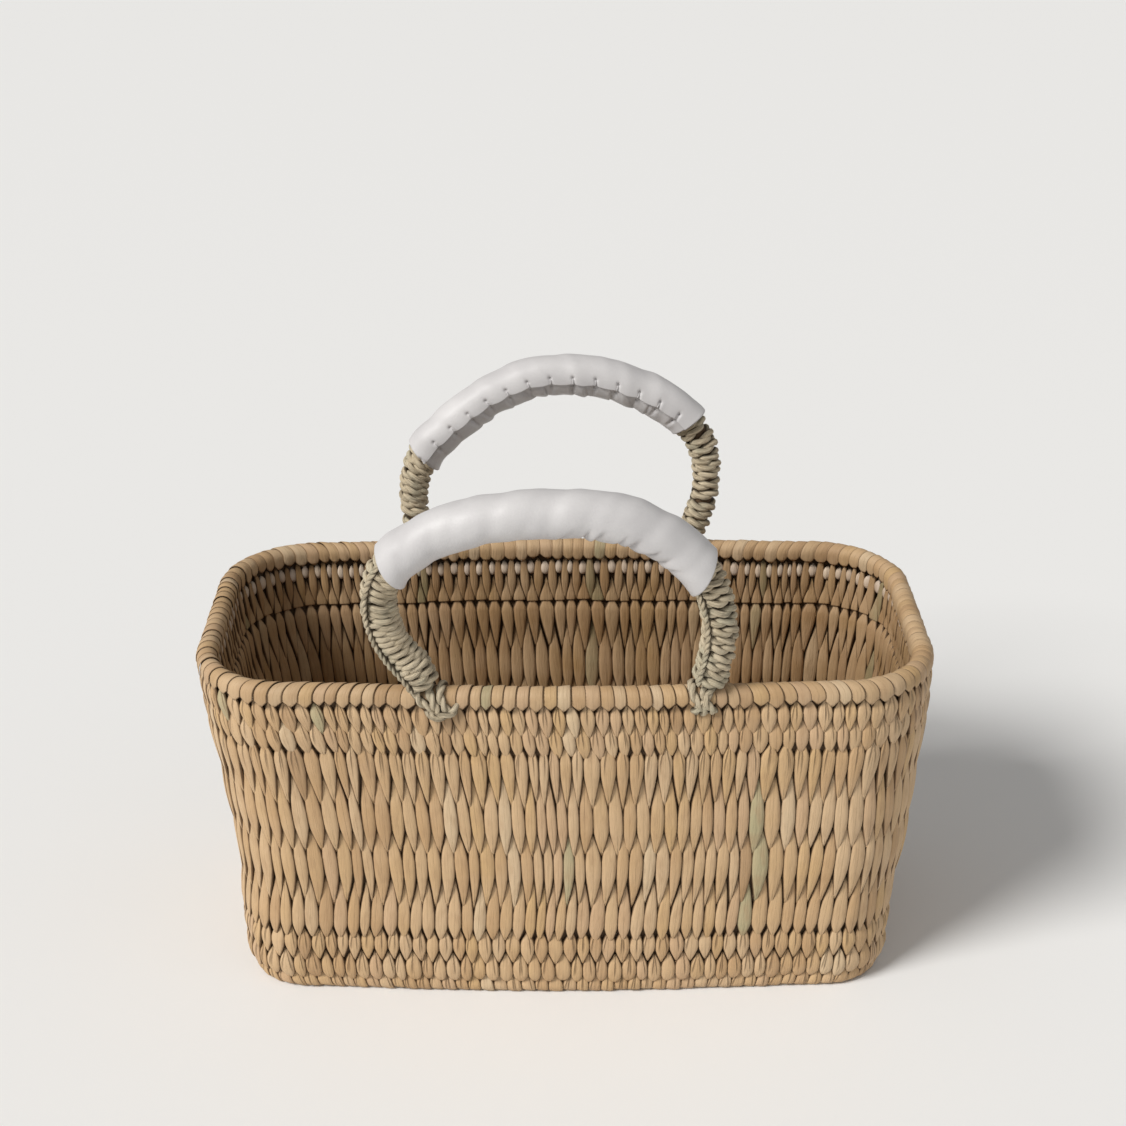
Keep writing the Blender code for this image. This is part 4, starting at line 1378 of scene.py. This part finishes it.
def on_sleeve(sleeve, line, share, round_it, lift=0.0):
    """Points of the leather, at shares of its length and distances round it from the seam's
    upper edge, with how near each is to a stitch hole, how deep in a fold and how far along."""
    handle = sleeve.handle
    span = handle.grip_end - handle.grip_start
    run = share * span * line.length
    to_stitch = (run + STITCH_PITCH / 2) % STITCH_PITCH - STITCH_PITCH / 2
    slack = np.abs(np.sin(math.pi * run / STITCH_PITCH))
    turn = SEAM_TURN + round_it / GRIP_HALF
    near_edge = np.exp(-round_it / EDGE_FADE)
    turn = turn - near_edge * (slack - 0.5) * EDGE_SCALLOP / GRIP_HALF
    half = GRIP_HALF + LAP_RISE * (1 - smooth_step(round_it, 0.008, 0.020))
    half = half + sum(
        size * np.sin(2 * math.pi * run / wave + number * turn + start)
        for wave, number, start, size in LUMPS
    )
    half = half + near_edge * slack * EDGE_SWELL
    hole = np.exp(-(to_stitch**2 + (round_it - STITCH_INSET) ** 2) / HOLE_RADIUS**2)
    crease = to_stitch - 0.25 * (STITCH_INSET - round_it)
    crease = np.exp(-((crease / CREASE_HALF) ** 2))
    crease = crease * (1 - smooth_step(round_it, 0.002, STITCH_INSET + 0.003))
    half = half - 0.0010 * hole - 0.0008 * crease
    below_edge = FULL_TURN - round_it
    lower_hole = np.exp(-(to_stitch**2 + (below_edge - LOWER_STITCH) ** 2) / HOLE_RADIUS**2)
    pucker = np.exp(-((to_stitch / PUCKER_HALF) ** 2)) * smooth_step(below_edge, -0.004, 0.001)
    pucker = pucker * (1 - smooth_step(below_edge, 0.004, 0.011))
    half = half - 0.0008 * lower_hole - 0.0008 * pucker

    # The gathers: each rises slowly and falls off in the last part of its pitch.
    spread = np.clip((share - sleeve.gathers_from) * 9, 0, 1)
    spread = spread * np.clip((sleeve.gathers_to - share) * 9, 0, 1)
    fold = run / sleeve.gather_pitch + sleeve.gather_slant * (turn - math.pi)
    fold = fold + 0.18 * np.sin(run * 310)
    ridge = fold % 1
    fall = (ridge - RIDGE_SHARE) / (1 - RIDGE_SHARE)
    ridge = np.where(ridge < RIDGE_SHARE, np.sin(math.pi / 2 * ridge / RIDGE_SHARE) ** 0.8,
                     0.5 + 0.5 * np.cos(math.pi * fall))
    reach = smooth_step(turn, math.radians(88), math.radians(150))
    reach = reach * (1 - 0.5 * smooth_step(round_it, FULL_TURN - 0.004, FULL_TURN + 0.002))
    uneven = 0.75 + 0.35 * np.sin(np.floor(fold) * 2.4)
    half = half + sleeve.gather_height * spread * reach * uneven * (ridge - 0.72) + lift
    # How deep in a gather's valley each point lies, which the leather's finish darkens as painted
    # shade.
    valley = np.exp(-(((fold + 0.5) % 1 - 0.5) / 0.07) ** 2) * spread * reach
    valley = valley * sleeve.gather_height / SLEEVES[0].gather_height

    slant = sleeve.left_slant * (1 - share) ** 9 - sleeve.right_slant * share**9
    place = handle.grip_start + span * share + slant * np.cos(turn) * GRIP_HALF / line.length
    points, _ = round_line(line, place, turn, half)
    return points, np.maximum(hole, lower_hole), valley, run


LEATHER_TONES = ((0.3, (0.560, 0.544, 0.546)), (0.7, (0.650, 0.634, 0.632)))
GRAIN_TONE = (0.50, 0.48, 0.485)
FOLD_SHADE_TONE = (0.24, 0.225, 0.235)
HOLE_SHADE_TONE = (0.06, 0.055, 0.06)


def leather_finish():
    """Soft white leather: fine grain, a slight sheen, and painted shade in the stitch holes and along
    the valleys of the gathers.
    """
    finish, tree, shader = new_finish("white_leather", 0.46, 0.45)
    where = Field(node_in(tree, "ShaderNodeTexCoord").outputs["Object"])
    cloud = noise(tree, where, 55.0, 3.0)
    cells = node_in(tree, "ShaderNodeTexVoronoi", {"feature": "SMOOTH_F1"}, Vector=where,
                    Scale=1500.0)
    grain = out_of(cells, "Distance")
    fine = noise(tree, where, 900.0, 3.0)
    tint = ramp(cloud, LEATHER_TONES)
    tint = mixed(eased(grain, 0.35, 0.75) * 0.10, tint, GRAIN_TONE)
    # Painted shade in the valleys of the gathers and in the stitch holes.
    tint = mixed(attribute(tree, "fold_valley", "Fac") * 0.5, tint, FOLD_SHADE_TONE)
    hole = attribute(tree, "stitch_hole", "Fac")
    tint = mixed(eased(hole, 0.45, 0.95) * 0.85, tint, HOLE_SHADE_TONE)
    feed(shader.inputs["Base Color"], tint)
    feed(shader.inputs["Roughness"], 0.42 + 0.14 * fine)
    ridge = node_in(tree, "ShaderNodeBump", Height=fine * 0.6 - grain * 0.5, Strength=0.35,
                    Distance=0.0003)
    feed(shader.inputs["Normal"], out_of(ridge, "Normal"))
    return finish


white_leather = leather_finish()
SLEEVE_ROWS = 250
sleeve_columns = np.concatenate(
    [
        np.linspace(0, 0.012, 31)[:-1],
        np.linspace(0.012, 0.052, 40)[:-1],
        np.linspace(0.052, WRAP_LENGTH, 46),
    ]
)


def sleeve_mesh(sleeve, line):
    """The sleeve as leather of an even thickness, and the length of arch that it covers."""
    share, round_it = np.meshgrid(np.linspace(0, 1, SLEEVE_ROWS), sleeve_columns, indexing="ij")
    points, hole, valley, run = on_sleeve(sleeve, line, share, round_it)
    faces = grid_faces(SLEEVE_ROWS, len(sleeve_columns), sleeve.handle.side > 0)
    mesh = bpy.data.meshes.new("sleeve")
    mesh.from_pydata(points.reshape(-1, 3).tolist(), [], faces)
    mesh.shade_smooth()
    for label, values in (("stitch_hole", hole), ("fold_valley", valley)):
        mesh.attributes.new(label, "FLOAT", "POINT").data.foreach_set("value", values.ravel())
    mesh.materials.append(white_leather)
    holder = bpy.data.objects.new("sleeve", mesh)
    bpy.context.scene.collection.objects.link(holder)
    thickened = holder.modifiers.new("thickness", "SOLIDIFY")
    thickened.thickness = LEATHER_THICKNESS
    thickened.offset = -1
    thickened.use_even_offset = False
    shown = holder.evaluated_get(bpy.context.evaluated_depsgraph_get())
    leather = bpy.data.meshes.new_from_object(shown)
    bpy.data.objects.remove(holder)
    return leather, run.max()


# A stitch goes from the hole in the upper edge over it to the hole in the leather below.
THREAD_HALF = 0.00032
THREAD_LIFT = 0.0002
UPPER_THREAD = np.array([STITCH_INSET, STITCH_INSET * 0.6, 0.0002])
LOWER_THREAD = np.array([FULL_TURN - 0.0006, FULL_TURN - LOWER_STITCH])
for sleeve in SLEEVES:
    line = handle_line(sleeve.handle)
    name = sleeve.handle.name
    mesh, long = sleeve_mesh(sleeve, line)
    grip = joined(f"{name}_grip_sleeve", [mesh])
    placed_on_basket(grip, "white_leather", f"{name}_grip")
    threads = []
    for k in range(1, int(long / STITCH_PITCH)):
        share = k * STITCH_PITCH / long
        thread = [
            on_sleeve(sleeve, line, np.full(len(part), share), part, THREAD_LIFT)[0]
            for part in (UPPER_THREAD, LOWER_THREAD)
        ]
        threads.append(np.concatenate(thread))
    open_side = [np.zeros((len(t), 3)) for t in threads]
    sewn = laid("thread", threads, open_side, THREAD_HALF, 31, white_leather, lay=0.002, sides=5,
                step=0.0006)
    stitches = joined(f"{name}_grip_stitches", [sewn])
    placed_on_basket(stitches, "white_leather", f"{name}_grip")
